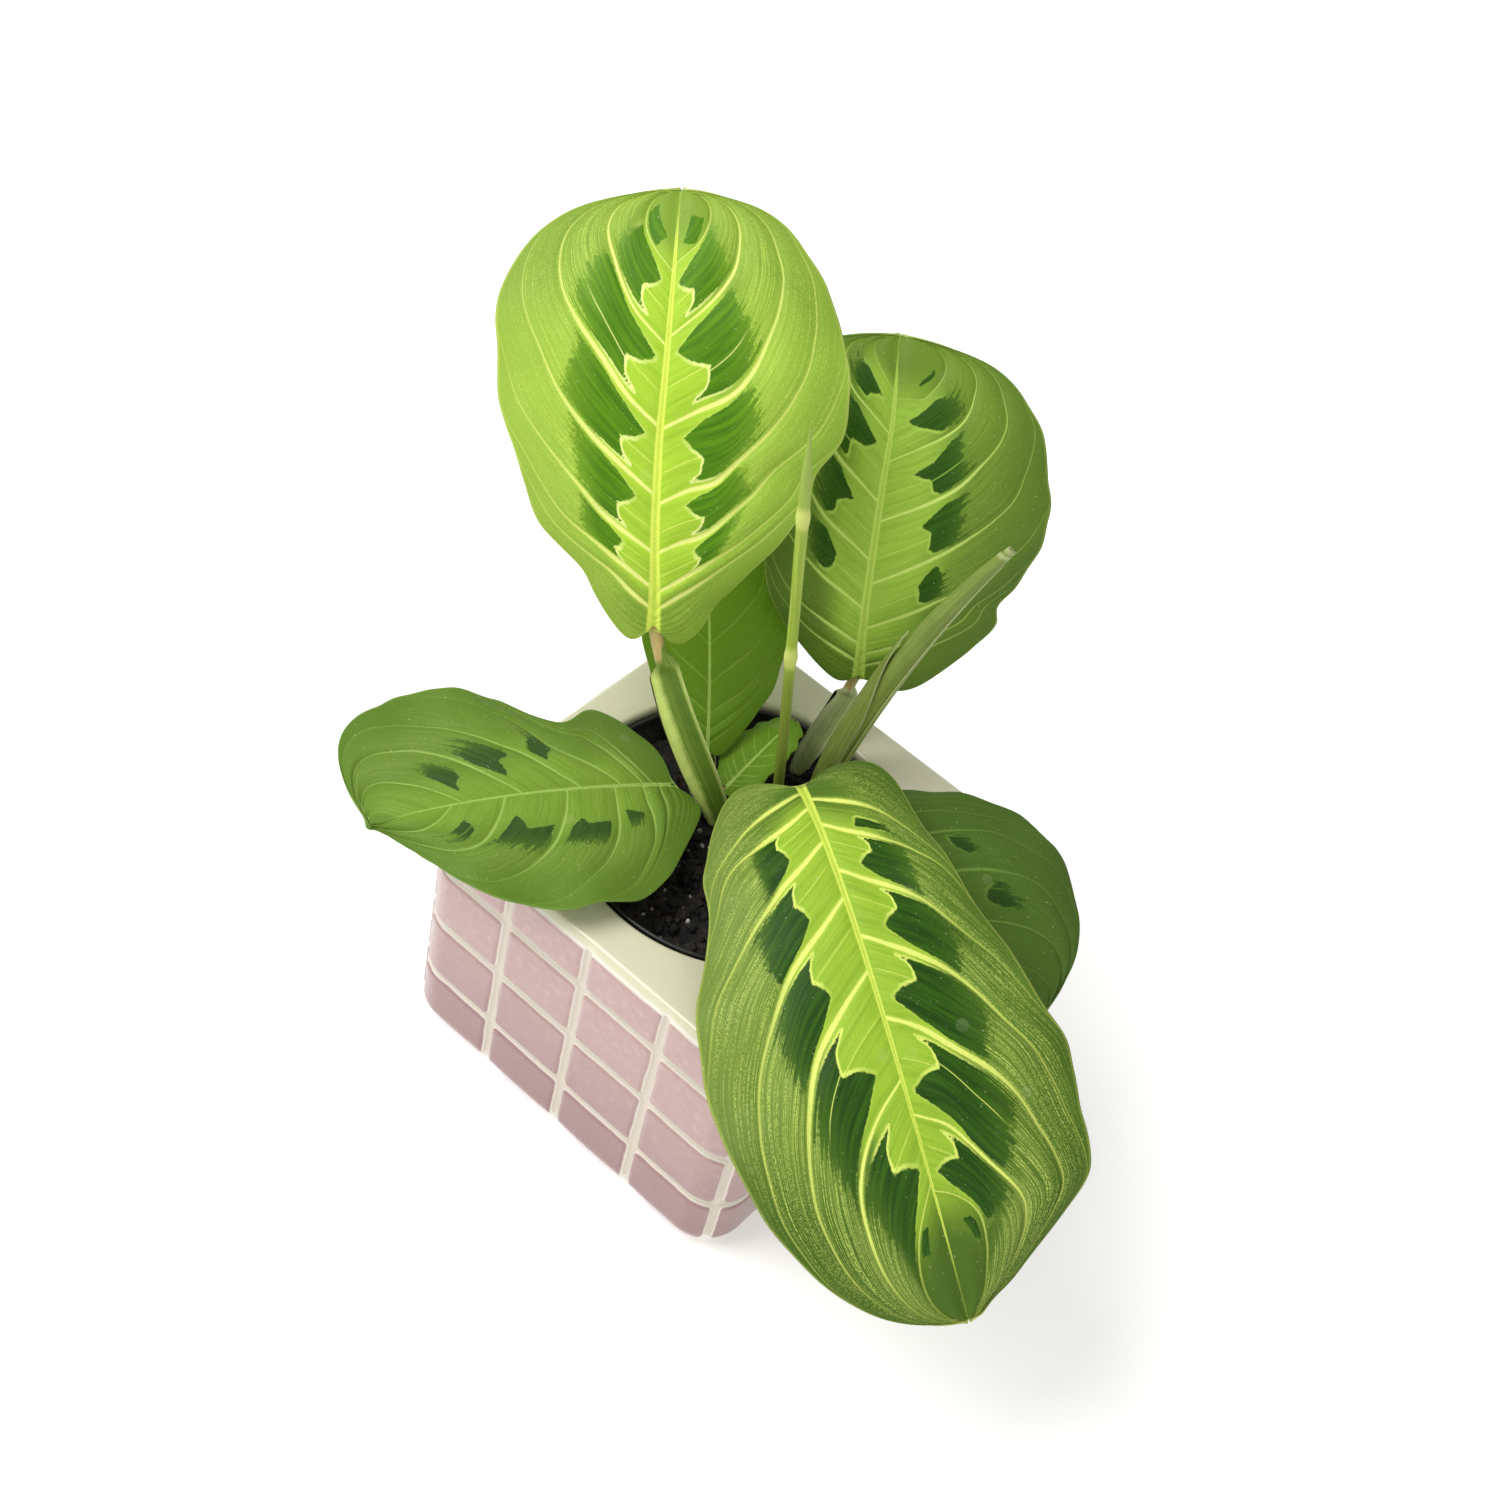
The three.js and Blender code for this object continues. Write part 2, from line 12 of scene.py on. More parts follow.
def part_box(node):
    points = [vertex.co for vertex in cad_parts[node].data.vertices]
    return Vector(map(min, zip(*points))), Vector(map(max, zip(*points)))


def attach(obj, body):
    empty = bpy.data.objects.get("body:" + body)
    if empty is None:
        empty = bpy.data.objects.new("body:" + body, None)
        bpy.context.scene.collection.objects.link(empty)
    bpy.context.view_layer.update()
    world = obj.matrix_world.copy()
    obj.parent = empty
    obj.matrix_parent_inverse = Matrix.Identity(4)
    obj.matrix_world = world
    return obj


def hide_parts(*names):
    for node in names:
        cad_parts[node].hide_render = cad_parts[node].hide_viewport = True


bl_info = {
    "name": "Potted Prayer Plant",
    "version": (1, 0, 0),
    "blender": (4, 5, 0),
    "location": "View3D > Sidebar > Plant",
    "description": "Builds a potted prayer plant with patterned leaves in a tiled planter",
    "category": "Add Mesh",
}

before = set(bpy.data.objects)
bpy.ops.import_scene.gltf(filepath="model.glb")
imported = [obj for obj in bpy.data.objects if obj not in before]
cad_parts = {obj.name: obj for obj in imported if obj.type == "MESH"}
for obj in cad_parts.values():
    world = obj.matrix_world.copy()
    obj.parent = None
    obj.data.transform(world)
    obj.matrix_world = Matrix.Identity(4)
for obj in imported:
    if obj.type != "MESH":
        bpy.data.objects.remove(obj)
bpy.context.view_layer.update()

MM = 0.001
GAP = 1e-6
FINE_GAP = 1e-7

# Planter, in millimetres, as its solid has it
PLANTER_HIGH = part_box("planter")[1]
PLANTER_HALF = PLANTER_HIGH.x / MM
PLANTER_HEIGHT = PLANTER_HIGH.z / MM
CORNER_RADIUS = 11
FLAT_HALF = PLANTER_HALF - CORNER_RADIUS
SIDE_HALF = FLAT_HALF + CORNER_RADIUS * pi / 4
TILE_PITCH = 24
TILE_CORNER = 2.2
GROUT_LINES = (20.1, 40.4, 60.8)
TOP_TILE_EDGE = 75.2
TOP_ROUNDING = 1.5
BASE_ROUNDING = 6
WALL = 5
FLOOR = 6
CAVITY_SLOPE = 2.5
OPENING_RADIUS = 40.3
OPENING_BEVEL = 1.3

# Grower's pot and soil, in millimetres
POT_LOW, POT_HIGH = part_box("nursery_pot")
POT_FOOT = POT_LOW.z / MM
POT_RIM_TOP = POT_HIGH.z / MM
POT_RIM_RADIUS = POT_HIGH.x / MM
POT_SHOULDER = POT_RIM_TOP - 5
POT_WALL = 1.1
POT_TOP_RADIUS = 37.6
POT_FOOT_RADIUS = 29
DRAIN_HOLES = 4
DRAIN_RADIUS = 3
DRAIN_CIRCLE = 19
DRAIN_CUT = 6
SOIL_TOP = 70
SOIL_SINK = 0.3
SOIL_GAP = 0.45
SOIL_RINGS = 64
SOIL_SEED = 11

# Leaf blades
LOBE_END = 0.25
LOBE_SKEW = 0.7
MARGIN_PHASE = 1.9
MARGIN_WANDER = 1.1
VEIN_SLANT = 0.28
VEIN_HOOK = 0.6
VEIN_RISE = 0.4
LAST_END = 1.03
LAST_CELL = 7
DEPTH_LIMIT = 5
WIDEST_CELL = 40
SOLID_BLADE = 0.8
SOLID_RIB = 1.0
FOOT_DEPTH = 6.4
SHEATH_BURIED = 0.08
SHEATH_RIDGES = 14
STALK_GRID = (90, 56)
SPIKE_BURIED = 0.05
SCROLL_BURIED = 0.06
SEAT_GAP = 0.6
SEAT_SINK = 0.9

# Photograph's view of the plant
VIEW_AZIMUTH = 29.48
VIEW_ELEVATION = 48.13
VIEW_ROLL = 15.34
VIEW_PLACE = (170.3, -306.3, 495.1)
VIEW_LENS = 55.2
SENSOR = 36
LIGHT_AIM = (0, 0, 0.08)
FLOOR_REACH = 6


def linear(code):
    """A colour written as six hex digits, in the linear values that shaders use."""
    shares = [int(code[at:at + 2], 16) / 255 for at in (0, 2, 4)]
    return [share / 12.92 if share <= 0.04045 else ((share + 0.055) / 1.055) ** 2.4 for share in shares]


def rgba(code):
    return (*linear(code), 1)


def leaf_of(**given):
    """A leaf's values; what isn't given is as on a small plain leaf."""
    values = {
        "tip": (0, 0), "stalk": "green", "look": "plain", "fan": (1.2, 1.2), "sway": [0, 0],
        "starts": ([0.15, 0.28, 0.385, 0.52, 0.64, 0.77, 0.88],) * 2, "drift": ([[0, 0], [0, 0]],) * 2,
        "teeth": ([], []), "spots": ([], [])}
    return SimpleNamespace(**{**values, **given})


# Each leaf repeats its solid's own shape: rib is a cubic curve from base to tip, face the way the
# upper side looks at base and tip, and widths the half-widths at seven even stations. lobe and tip
# say how far each side reaches past the rib's ends, cup how far the margins rise, and wave the
# height, number and start of their waves. edge lists nicks and bulges: side, station, depth and
# spread. foot, bend and sheath shape the stalk. The rest places the pattern. Where there are two
# of a value, the left side comes first. starts says where the side veins leave the rib, as square
# roots of its share, fan how they sweep to the tip, and drift how far they stray on their way to
# the margin, near the base, halfway and near the tip. Between two veins lies a cell. teeth lists
# dark spots beside a toothed middle: cell, reach of the spot's point, reach of the tooth under it,
# and reach of the far edge above and below. spots lists others by their outline, in reach and
# share of the cell. sway bends the drawn rib.
LEAVES = {
    "leaf_1": leaf_of(
        rib=[(-34, -3, 120), (-42, 2, 150), (-60, 16, 184), (-80, 40, 194)],
        face=[(0.42, -0.62, 0.62), (0.12, -0.5, 0.86)],
        widths=([8.5, 19.5, 30, 37, 39, 34.5, 22], [10, 21, 33, 40, 37.5, 29.5, 18]), lobe=(5.5, 6),
        cup=(-4, -4), wave=(1.0, 3, 0.2),
        edge=[(0, 0.23, 1, 0.03), (0, 0.31, -1.6, 0.04), (1, 0.18, 1.2, 0.03), (1, 0.42, 2, 0.03)],
        foot=(-6.5, 2.3), bend=[(-8.5, -2.5, 84), (-24, -5, 101)], sheath=4.1,
        rows=190, columns=130, look="lime", fan=(1.85, 1.85), sway=[0, -0.03, -0.03, -0.01, 0, 0],
        starts=(
            [0.2, 0.305, 0.42, 0.55, 0.67, 0.79, 0.885],
            [0.2, 0.29, 0.43, 0.545, 0.67, 0.795, 0.88]),
        drift=(
            [[0.02, -0.02, 0, 0.07, -0.25, -0.8], [0.08, 0.05, 0.07, 0.15, 0.02, -0.5],
             [0.05, 0, 0.22, 0.2, 0, -0.3]],
            [[0, -0.06, -0.07, -0.07, -0.25, -1], [-0.03, -0.15, -0.33, -0.1, -0.15, -0.5],
             [0.15, 0, -0.02, 0.1, 0, -0.3]]),
        teeth=(
            [(2, 0.28, 0.38, 0.56, 0.6), (3, 0.147, 0.295, 0.55, 0.57), (4, 0.087, 0.247, 0.5, 0.6),
             (5, 0.053, 0.24, 0.43, 0.58), (6, 0.067, 0.173, 0.25, 0.41)],
            [(2, 0.34, 0.43, 0.6, 0.56), (3, 0.207, 0.355, 0.5, 0.63), (4, 0.14, 0.285, 0.465, 0.573),
             (5, 0.053, 0.245, 0.375, 0.533), (6, 0.033, 0.14, 0.29, 0.39)]),
        spots=(
            [(7, [(0.06, 0.22), (0.13, 0.02), (0.25, 0.05), (0.19, 0.28)])],
            [(7, [(0.05, 0.12), (0.15, 0.02), (0.25, 0.1), (0.13, 0.28)])])),
    "leaf_2": leaf_of(
        rib=[(-2, 40, 100), (-8, 42, 124), (-20, 54, 150), (-37, 77, 163)],
        face=[(0.4, -0.62, 0.66), (0.2, -0.5, 0.84)],
        widths=([8, 18, 24, 27, 27, 25, 19], [16, 29, 35, 40, 39.5, 33, 22]), lobe=(3, 6), cup=(-3, -5),
        wave=(0.8, 3, 0.5), edge=[(1, 0.34, 1.6, 0.03), (1, 0.62, 0.8, 0.04)],
        foot=(-5, 30), bend=[(-5, 30, 78), (-3, 37, 88)], sheath=3.2,
        rows=150, columns=110, stalk="pale", look="mid", fan=(1.6, 1.85),
        sway=[0, 0, 0.01, 0.02, 0.03, 0],
        starts=(
            [0.21, 0.33, 0.48, 0.615, 0.74, 0.86, 0.92],
            [0.19, 0.285, 0.42, 0.56, 0.69, 0.79, 0.86]),
        drift=(
            [[0, 0, -0.02, -0.1, -0.4, -1], [0, -0.03, -0.07, -0.08, -0.2, -0.6],
             [-0.03, -0.17, -0.3, -0.3, -0.5, -0.8]],
            [[-0.1, -0.13, -0.25, -0.3, -0.5, -1], [-0.03, -0.08, -0.07, -0.05, -0.25, -0.7],
             [0.3, 0, -0.17, -0.25, -0.6, -1]]),
        spots=(
            [(3, [(0.32, 0.62), (0.36, 0.33), (0.42, 0.17), (0.56, 0.15), (0.58, 0.8), (0.42, 0.87)]),
             (4, [(0.21, 0.69), (0.29, 0.58), (0.36, 0.45), (0.37, 0.23), (0.43, 0.1), (0.57, 0.1),
                  (0.52, 0.9), (0.38, 0.93), (0.32, 0.82)]),
             (5, [(0.09, 0.73), (0.19, 0.52), (0.32, 0.44), (0.33, 0.15), (0.52, 0.1), (0.46, 0.9),
                  (0.32, 0.92), (0.2, 0.81)]),
             (6, [(0.1, 0.53), (0.15, 0.39), (0.25, 0.1), (0.47, 0.12), (0.36, 0.48), (0.27, 0.61)])],
            [(3, [(0.33, 0.6), (0.36, 0.4), (0.39, 0.2), (0.44, 0.11), (0.53, 0.14), (0.47, 0.6),
                  (0.41, 0.86), (0.36, 0.75)]),
             (4, [(0.25, 0.69), (0.32, 0.53), (0.33, 0.22), (0.37, 0.1), (0.53, 0.1), (0.48, 0.5),
                  (0.48, 0.83), (0.38, 0.88)]),
             (5, [(0.16, 0.62), (0.22, 0.49), (0.27, 0.41), (0.29, 0.18), (0.33, 0.06), (0.53, 0.06),
                  (0.45, 0.42), (0.45, 0.85), (0.38, 0.88), (0.28, 0.68)]),
             (6, [(0.09, 0.75), (0.15, 0.53), (0.21, 0.37), (0.31, 0.1), (0.47, 0.16), (0.44, 0.48),
                  (0.37, 0.66), (0.28, 0.8)]),
             (7, [(0.15, 0.1), (0.3, 0.14), (0.32, 0.19), (0.2, 0.15)])])),
    "leaf_3": leaf_of(
        rib=[(-18.5, -4.4, 79.5), (-28, -26.5, 88), (-41, -49, 90.5), (-53, -70, 85.5)],
        face=[(-0.05, -0.26, 0.96), (-0.2, -0.35, 0.9)],
        widths=([11, 26, 31, 31, 26.5, 14, 3.5], [14, 24, 21.5, 30, 35, 33.5, 26]), lobe=(6.6, 2),
        tip=(0, 4), cup=(-2, -2), wave=(1.0, 3, 0.1), edge=[(0, 0.78, 0.8, 0.04), (1, 0.36, 1, 0.05)],
        foot=(-19, -6), bend=[(-19, -6, 73), (-19, -5, 75)], sheath=2.6,
        rows=150, columns=110, look="left", fan=(1.3, 1.6),
        starts=(
            [0.21, 0.327, 0.458, 0.61, 0.764, 0.872, 0.95],
            [0.283, 0.342, 0.46, 0.59, 0.73, 0.84, 0.95]),
        drift=(
            [[0, -0.25, -0.65, -0.9, -1, -1.6], [0, -0.1, -0.1, -0.02, -0.15, -0.7],
             [-0.1, -0.2, -0.3, -0.3, -0.5, -0.8]],
            [[-0.4, -0.25, -0.13, -0.2, -1, -1.6], [-0.2, -0.12, 0.05, 0.5, 0.7, 0.3],
             [0, 0.15, 0.4, 0.6, 0.8, 0.8]]),
        spots=(
            [(2, [(0.24, 0.85), (0.33, 0.3), (0.41, 0.45), (0.4, 0.75)]),
             (3, [(0.27, 0.72), (0.33, 0.6), (0.32, 0.2), (0.51, 0.2), (0.47, 0.86), (0.34, 0.84)]),
             (4, [(0.19, 0.79), (0.27, 0.61), (0.33, 0.5), (0.3, 0.13), (0.51, 0.12), (0.47, 0.5),
                  (0.45, 0.85)]),
             (5, [(0.2, 0.59), (0.26, 0.4), (0.32, 0.25), (0.47, 0.24), (0.37, 0.58)])],
            [(3, [(0.34, 0.84), (0.42, 0.57), (0.5, 0.2), (0.6, 0.03), (0.69, 0.04), (0.57, 0.34),
                  (0.48, 0.65), (0.43, 0.85)]),
             (4, [(0.16, 0.85), (0.23, 0.71), (0.31, 0.6), (0.36, 0.34), (0.44, 0.2), (0.52, 0.28),
                  (0.46, 0.56), (0.4, 0.86), (0.3, 0.93)]),
             (5, [(0.07, 0.81), (0.15, 0.65), (0.2, 0.43), (0.28, 0.3), (0.37, 0.4), (0.33, 0.57),
                  (0.25, 0.74)])])),
    "leaf_4": leaf_of(
        rib=[(10.2, 4.4, 98), (32, -10.5, 106), (75, -37.5, 96), (115, -52.5, 62)],
        face=[(0.1, -0.3, 0.95), (0.45, -0.45, 0.77)],
        widths=([18, 23, 26, 32.5, 38, 34.5, 14], [17, 27, 31, 39.5, 40, 32.5, 19]), lobe=(7, 8.5),
        cup=(-5, -6), wave=(1.2, 4, 0),
        edge=[(0, 0.6, -1.5, 0.03), (0, 0.68, 1, 0.03), (0, 0.76, -1.2, 0.03), (0, 0.93, 1.2, 0.03)],
        foot=(9, 5), bend=[(9, 5, 80), (9, 4, 89)], sheath=3,
        rows=210, columns=140, look="dark", fan=(0.55, 1.85),
        starts=(
            [0.22, 0.37, 0.515, 0.64, 0.745, 0.84, 0.9],
            [0.14, 0.29, 0.44, 0.575, 0.69, 0.81, 0.9]),
        drift=(
            [[0.03, 0.1, 0.07, -0.05, -0.4, -1.4], [0, -0.02, -0.02, 0.02, 0.15, -0.3],
             [0.05, -0.03, 0.2, 0.25, 0, -0.3]],
            [[-0.05, 0, -0.07, -0.25, -0.75, -1.6], [-0.02, -0.05, -0.07, 0, -0.15, -0.7],
             [0, -0.18, -0.23, -0.05, -0.2, -0.5]]),
        teeth=(
            [(2, 0.22, 0.37, 0.62, 0.68), (3, 0.213, 0.37, 0.587, 0.74), (4, 0.087, 0.28, 0.493, 0.68),
             (5, 0.04, 0.222, 0.44, 0.62), (6, 0.047, 0.193, 0.3, 0.47)],
            [(2, 0.313, 0.39, 0.55, 0.6), (3, 0.28, 0.37, 0.507, 0.66), (4, 0.247, 0.333, 0.507, 0.59),
             (5, 0.127, 0.31, 0.467, 0.547), (6, 0.047, 0.205, 0.32, 0.413)]),
        spots=(
            [(1, [(0.32, 0.86), (0.37, 0.6), (0.6, 0.62), (0.68, 0.78)]),
             (7, [(0.12, 0.15), (0.2, 0.09), (0.28, 0.1), (0.2, 0.19)])],
            [(7, [(0.1, 0.1), (0.16, 0.02), (0.22, 0.06), (0.16, 0.2)])])),
    "leaf_5": leaf_of(
        rib=[(14, 17, 85), (32, 13, 91), (58, 11, 88), (82, 14, 75)],
        face=[(0.1, -0.2, 0.97), (0.4, -0.2, 0.9)],
        widths=([7, 17, 25, 31, 31, 26, 16], [6, 13, 18, 20, 19, 15, 9]), lobe=(4, 4), cup=(-2, -3),
        wave=(0.7, 3, 0.3), edge=[(0, 0.3, 0.8, 0.04)],
        foot=(11, 21), bend=[(11, 21, 76), (12, 19, 80)], sheath=2.6,
        rows=110, columns=80, look="right", fan=(1.6, 1.6),
        starts=(
            [0.13, 0.26, 0.38, 0.506, 0.656, 0.794, 0.89],
            [0.2, 0.32, 0.44, 0.56, 0.68, 0.8, 0.89]),
        spots=(
            [(4, [(0.4, 0.48), (0.44, 0.2), (0.53, 0.25), (0.5, 0.6), (0.43, 0.7)]),
             (5, [(0.26, 0.62), (0.34, 0.4), (0.45, 0.24), (0.48, 0.4), (0.45, 0.7), (0.33, 0.74)])],
            [])),
    "leaf_6": leaf_of(
        rib=[(-20, 10, 79), (-28, 17, 95), (-44, 30, 109), (-64, 50, 115)],
        face=[(0.45, -0.7, 0.5), (0.3, -0.6, 0.74)],
        widths=([4, 9, 14, 16, 14, 10, 6], [5, 11, 17, 20, 19, 15, 9]), lobe=(2, 2), cup=(2, -2),
        wave=(0.5, 2, 0.1), edge=[(1, 0.5, 0.6, 0.05)],
        foot=(-20, 12), bend=[(-20, 12, 73), (-20, 11, 75)], sheath=2.2,
        rows=110, columns=60),
    "leaf_7": leaf_of(
        rib=[(-11, 8, 75.5), (-10, 15, 80.5), (-10, 22, 84), (-10, 30, 84)],
        face=[(-0.1, -0.3, 0.96), (0, -0.1, 0.96)],
        widths=([4, 7, 8, 8, 6.5, 5, 3], [3, 5.5, 6.5, 7, 6, 5, 3]), lobe=(1, 2), cup=(-1.5, 1),
        wave=(0.3, 2, 0.1), edge=[(0, 0.6, 0.3, 0.05)],
        foot=(-13, 5), bend=[(-13, 5, 72), (-12.5, 6, 73.5)], sheath=1.9,
        rows=50, columns=30),
}

# A look is the colours of one kind of blade; vein and rib widths are halves, in millimetres. veins
# says how clear the side veins are, middle how clearly the lime middle shows, streaks how strong
# the fine streaks are, tip how far painted shade darkens the tip and base (painted light where it is
# negative), and lit how much painted light brightens the left and right margins. outer_far_and_shade
# is the colour both of the duller margin and of the painted shade.
LOOKS = {
    "lime": SimpleNamespace(
        slot="leaf_lime", outer="98BC3C", outer_far_and_shade="7F9F34", streak="B9D658",
        spot="5F9010", spot_deep="407008", zone="A8CE38", zone_deep="98BF30",
        vein="EAF08A", rib="DCEC5E", outline="EEF598", line="D3E762",
        vein_width=0.52, rib_width=1.0, veins=1.0, middle=1.0, streaks=0.8, tip=0.9, lit=(0.25, 0)),
    "mid": SimpleNamespace(
        slot="leaf_mid", outer="678628", outer_far_and_shade="49631E", streak="86A438",
        spot="355E0A", spot_deep="264C06", zone="A0C644", zone_deep="90B53A",
        vein="CBE276", rib="B9D65A", outline="A6C850", line="B4D65A",
        vein_width=0.38, rib_width=0.95, veins=0.9, middle=0.9, streaks=0.35, tip=-0.3, lit=(0, 0)),
    "left": SimpleNamespace(
        slot="leaf_deep", outer="66862A", outer_far_and_shade="5C7C26", streak="84A04A",
        spot="3C5A22", spot_deep="304C1C", zone="7EA036", zone_deep="6E902A",
        vein="9DBE5C", rib="A0C060", outline="6F9038", line="7F9F44",
        vein_width=0.26, rib_width=0.38, veins=0.8, middle=0.8, streaks=0.3, tip=0.3, lit=(0, 0)),
    "dark": SimpleNamespace(
        slot="leaf_mid", outer="648628", outer_far_and_shade="44621A", streak="B2C45E",
        spot="355E0C", spot_deep="1C3E08", zone="98BC34", zone_deep="86AA2C",
        vein="E2EC78", rib="CFE058", outline="DDEB72", line="C3DA58",
        vein_width=0.62, rib_width=0.72, veins=1.0, middle=1.0, streaks=1.5, tip=0.65, lit=(0, 0.2)),
    "right": SimpleNamespace(
        slot="leaf_deep", outer="48671F", outer_far_and_shade="435D1E", streak="5A782C",
        spot="2A4A10", spot_deep="213C0D", zone="4F6E23", zone_deep="48661D",
        vein="6E8E3C", rib="7C9C46", outline="5A782C", line="5F7F30",
        vein_width=0.3, rib_width=0.5, veins=0.7, middle=0.4, streaks=0.25, tip=0.3, lit=(0, 0)),
    "plain": SimpleNamespace(
        slot="leaf_deep", outer="6E961E", outer_far_and_shade="5E851A", streak="7CA634",
        spot="3B6A10", spot_deep="33600C", zone="6C961C", zone_deep="608A18",
        vein="A3C75A", rib="B5D56A", outline="5C9630", line="6FA030",
        vein_width=0.15, rib_width=0.3, veins=0.34, middle=0.4, streaks=0.2, tip=0.3, lit=(0, 0)),
}

STALK_LOOKS = {
    "green": SimpleNamespace(
        skin="86A03C", ridge="587820", wing="DBEC80", rim="E8EEB0", joint="BFA868"),
    "pale": SimpleNamespace(
        skin="C4CE94", ridge="AAB674", wing="D2DAA8", rim="D4D6B4", joint="B8A266"),
}

SPIKE = SimpleNamespace(
    axis=[(0, 15, SOIL_TOP), (-2, 12.5, 100), (-8, 10, 145), (-13, 7, 190)],
    face=Vector((0.4, -0.9, 0.1)), joints=((0.5, 0.016), (0.82, 0.014)),
    radii=[1.3, 1.3, 1.3, 1.25, 1.3, 1.3, 1.25, 1.3, 1.35, 1.2, 0.2])
SCROLL = SimpleNamespace(
    axis=[(3, 28, SOIL_TOP), (4, 31, 92), (8, 41, 124), (20, 50, 154)], face=Vector((0.33, -0.58, 0.74)),
    radii=[2.6, 3.0, 3.3, 3.4, 3.4, 3.3, 3.1, 2.8, 2.4, 1.9, 1.3])


class PlanterSettings(bpy.types.PropertyGroup):
    tile: FloatVectorProperty(
        name="Tile glaze", description="Glaze on the raised tiles", subtype="COLOR",
        default=linear("B3918A"))
    groove: FloatVectorProperty(
        name="Groove glaze", description="Glaze that fills the grooves", subtype="COLOR",
        default=linear("D0C5B3"))
    deck: FloatVectorProperty(
        name="Top glaze", description="Glaze on the top and inside", subtype="COLOR",
        default=linear("D6D2B4"))
    relief: FloatProperty(
        name="Tile relief", description="How far the tiles stand out", unit="LENGTH", default=1.2 * MM)
    groove_half: FloatProperty(
        name="Half groove", description="Half the width of a groove's floor", unit="LENGTH",
        default=0.6 * MM)
    shoulder: FloatProperty(
        name="Shoulder", description="Width of the tiles' rounded edge", unit="LENGTH", default=1.25 * MM)


class SoilSettings(bpy.types.PropertyGroup):
    soil: FloatVectorProperty(
        name="Soil", description="Damp potting soil", subtype="COLOR", default=linear("181412"))
    perlite: FloatVectorProperty(
        name="Perlite", description="White grains in the soil", subtype="COLOR", default=linear("D9D4CB"))
    crumbs: IntProperty(name="Crumbs", description="Loose crumbs on the soil", default=620)
    grains: IntProperty(name="Perlite grains", description="White grains on the soil", default=280)


class LeafSettings(bpy.types.PropertyGroup):
    thickness: FloatProperty(
        name="Blade", description="Thickness of a blade", unit="LENGTH", default=0.45 * MM)
    ridge: FloatProperty(
        name="Midrib", description="Thickness of a blade at its midrib", unit="LENGTH", default=1.8 * MM)
    quilt: FloatProperty(
        name="Quilting", description="How far a blade rises between its veins", unit="LENGTH",
        default=0.75 * MM)
    vein_depth: FloatProperty(
        name="Vein depth", description="How deep the side veins lie", unit="LENGTH", default=0.2 * MM)
    underside: FloatVectorProperty(
        name="Underside", description="Back of a blade", subtype="COLOR", default=linear("7F9A58"))


class StageSettings(bpy.types.PropertyGroup):
    floor: FloatVectorProperty(
        name="Floor", description="Plain floor", subtype="COLOR", default=linear("FBFBFA"))
    key: FloatProperty(name="Key light", description="Power of the large soft light", default=13.5)
    fill: FloatProperty(name="Fill light", description="Power of the light from the right", default=2)
    sky: FloatProperty(name="Sky", description="Strength of the even light all round", default=0.54)


def settings(name):
    return getattr(bpy.context.scene, "plant_" + name)


class Wire:
    """A number in a material's node tree; arithmetic on it adds Math nodes."""

    def __init__(self, finish, socket):
        self.finish = finish
        self.socket = socket

    def math(self, operation, *others):
        sockets = dict(enumerate((self, *others)))
        node = self.finish.node("ShaderNodeMath", {"operation": operation}, sockets)
        return Wire(self.finish, node.outputs[0])

    def __add__(self, other):
        return self.math("ADD", other)

    __radd__ = __add__

    def __mul__(self, other):
        return self.math("MULTIPLY", other)

    __rmul__ = __mul__

    def __sub__(self, other):
        return self.math("SUBTRACT", other)

    def __neg__(self):
        return self.math("MULTIPLY", -1)

    def __rsub__(self, other):
        return -self + other

    def __truediv__(self, other):
        return self.math("DIVIDE", other)

    def __abs__(self):
        return self.math("ABSOLUTE")

    def floor(self):
        return self.math("FLOOR")

    def cosine(self):
        return self.math("COSINE")

    def least(self, other):
        return self.math("MINIMUM", other)

    def most(self, other):
        return self.math("MAXIMUM", other)

    def above(self, other):
        return self.math("GREATER_THAN", other)

    def step(self, low, high):
        """0 under low, 1 over high and smooth between them; low may be the greater."""
        node = self.finish.node("ShaderNodeMapRange", {"interpolation_type": "SMOOTHSTEP"}, {
            "Value": self, "From Min": low, "From Max": high})
        return Wire(self.finish, node.outputs["Result"])

    def ramp(self, stops):
        """A curve through (place, value) pairs."""
        node = self.finish.node("ShaderNodeValToRGB", {
            "stops": [(place, (value, value, value, 1)) for place, value in stops]}, {"Fac": self})
        return Wire(self.finish, node.outputs["Color"])


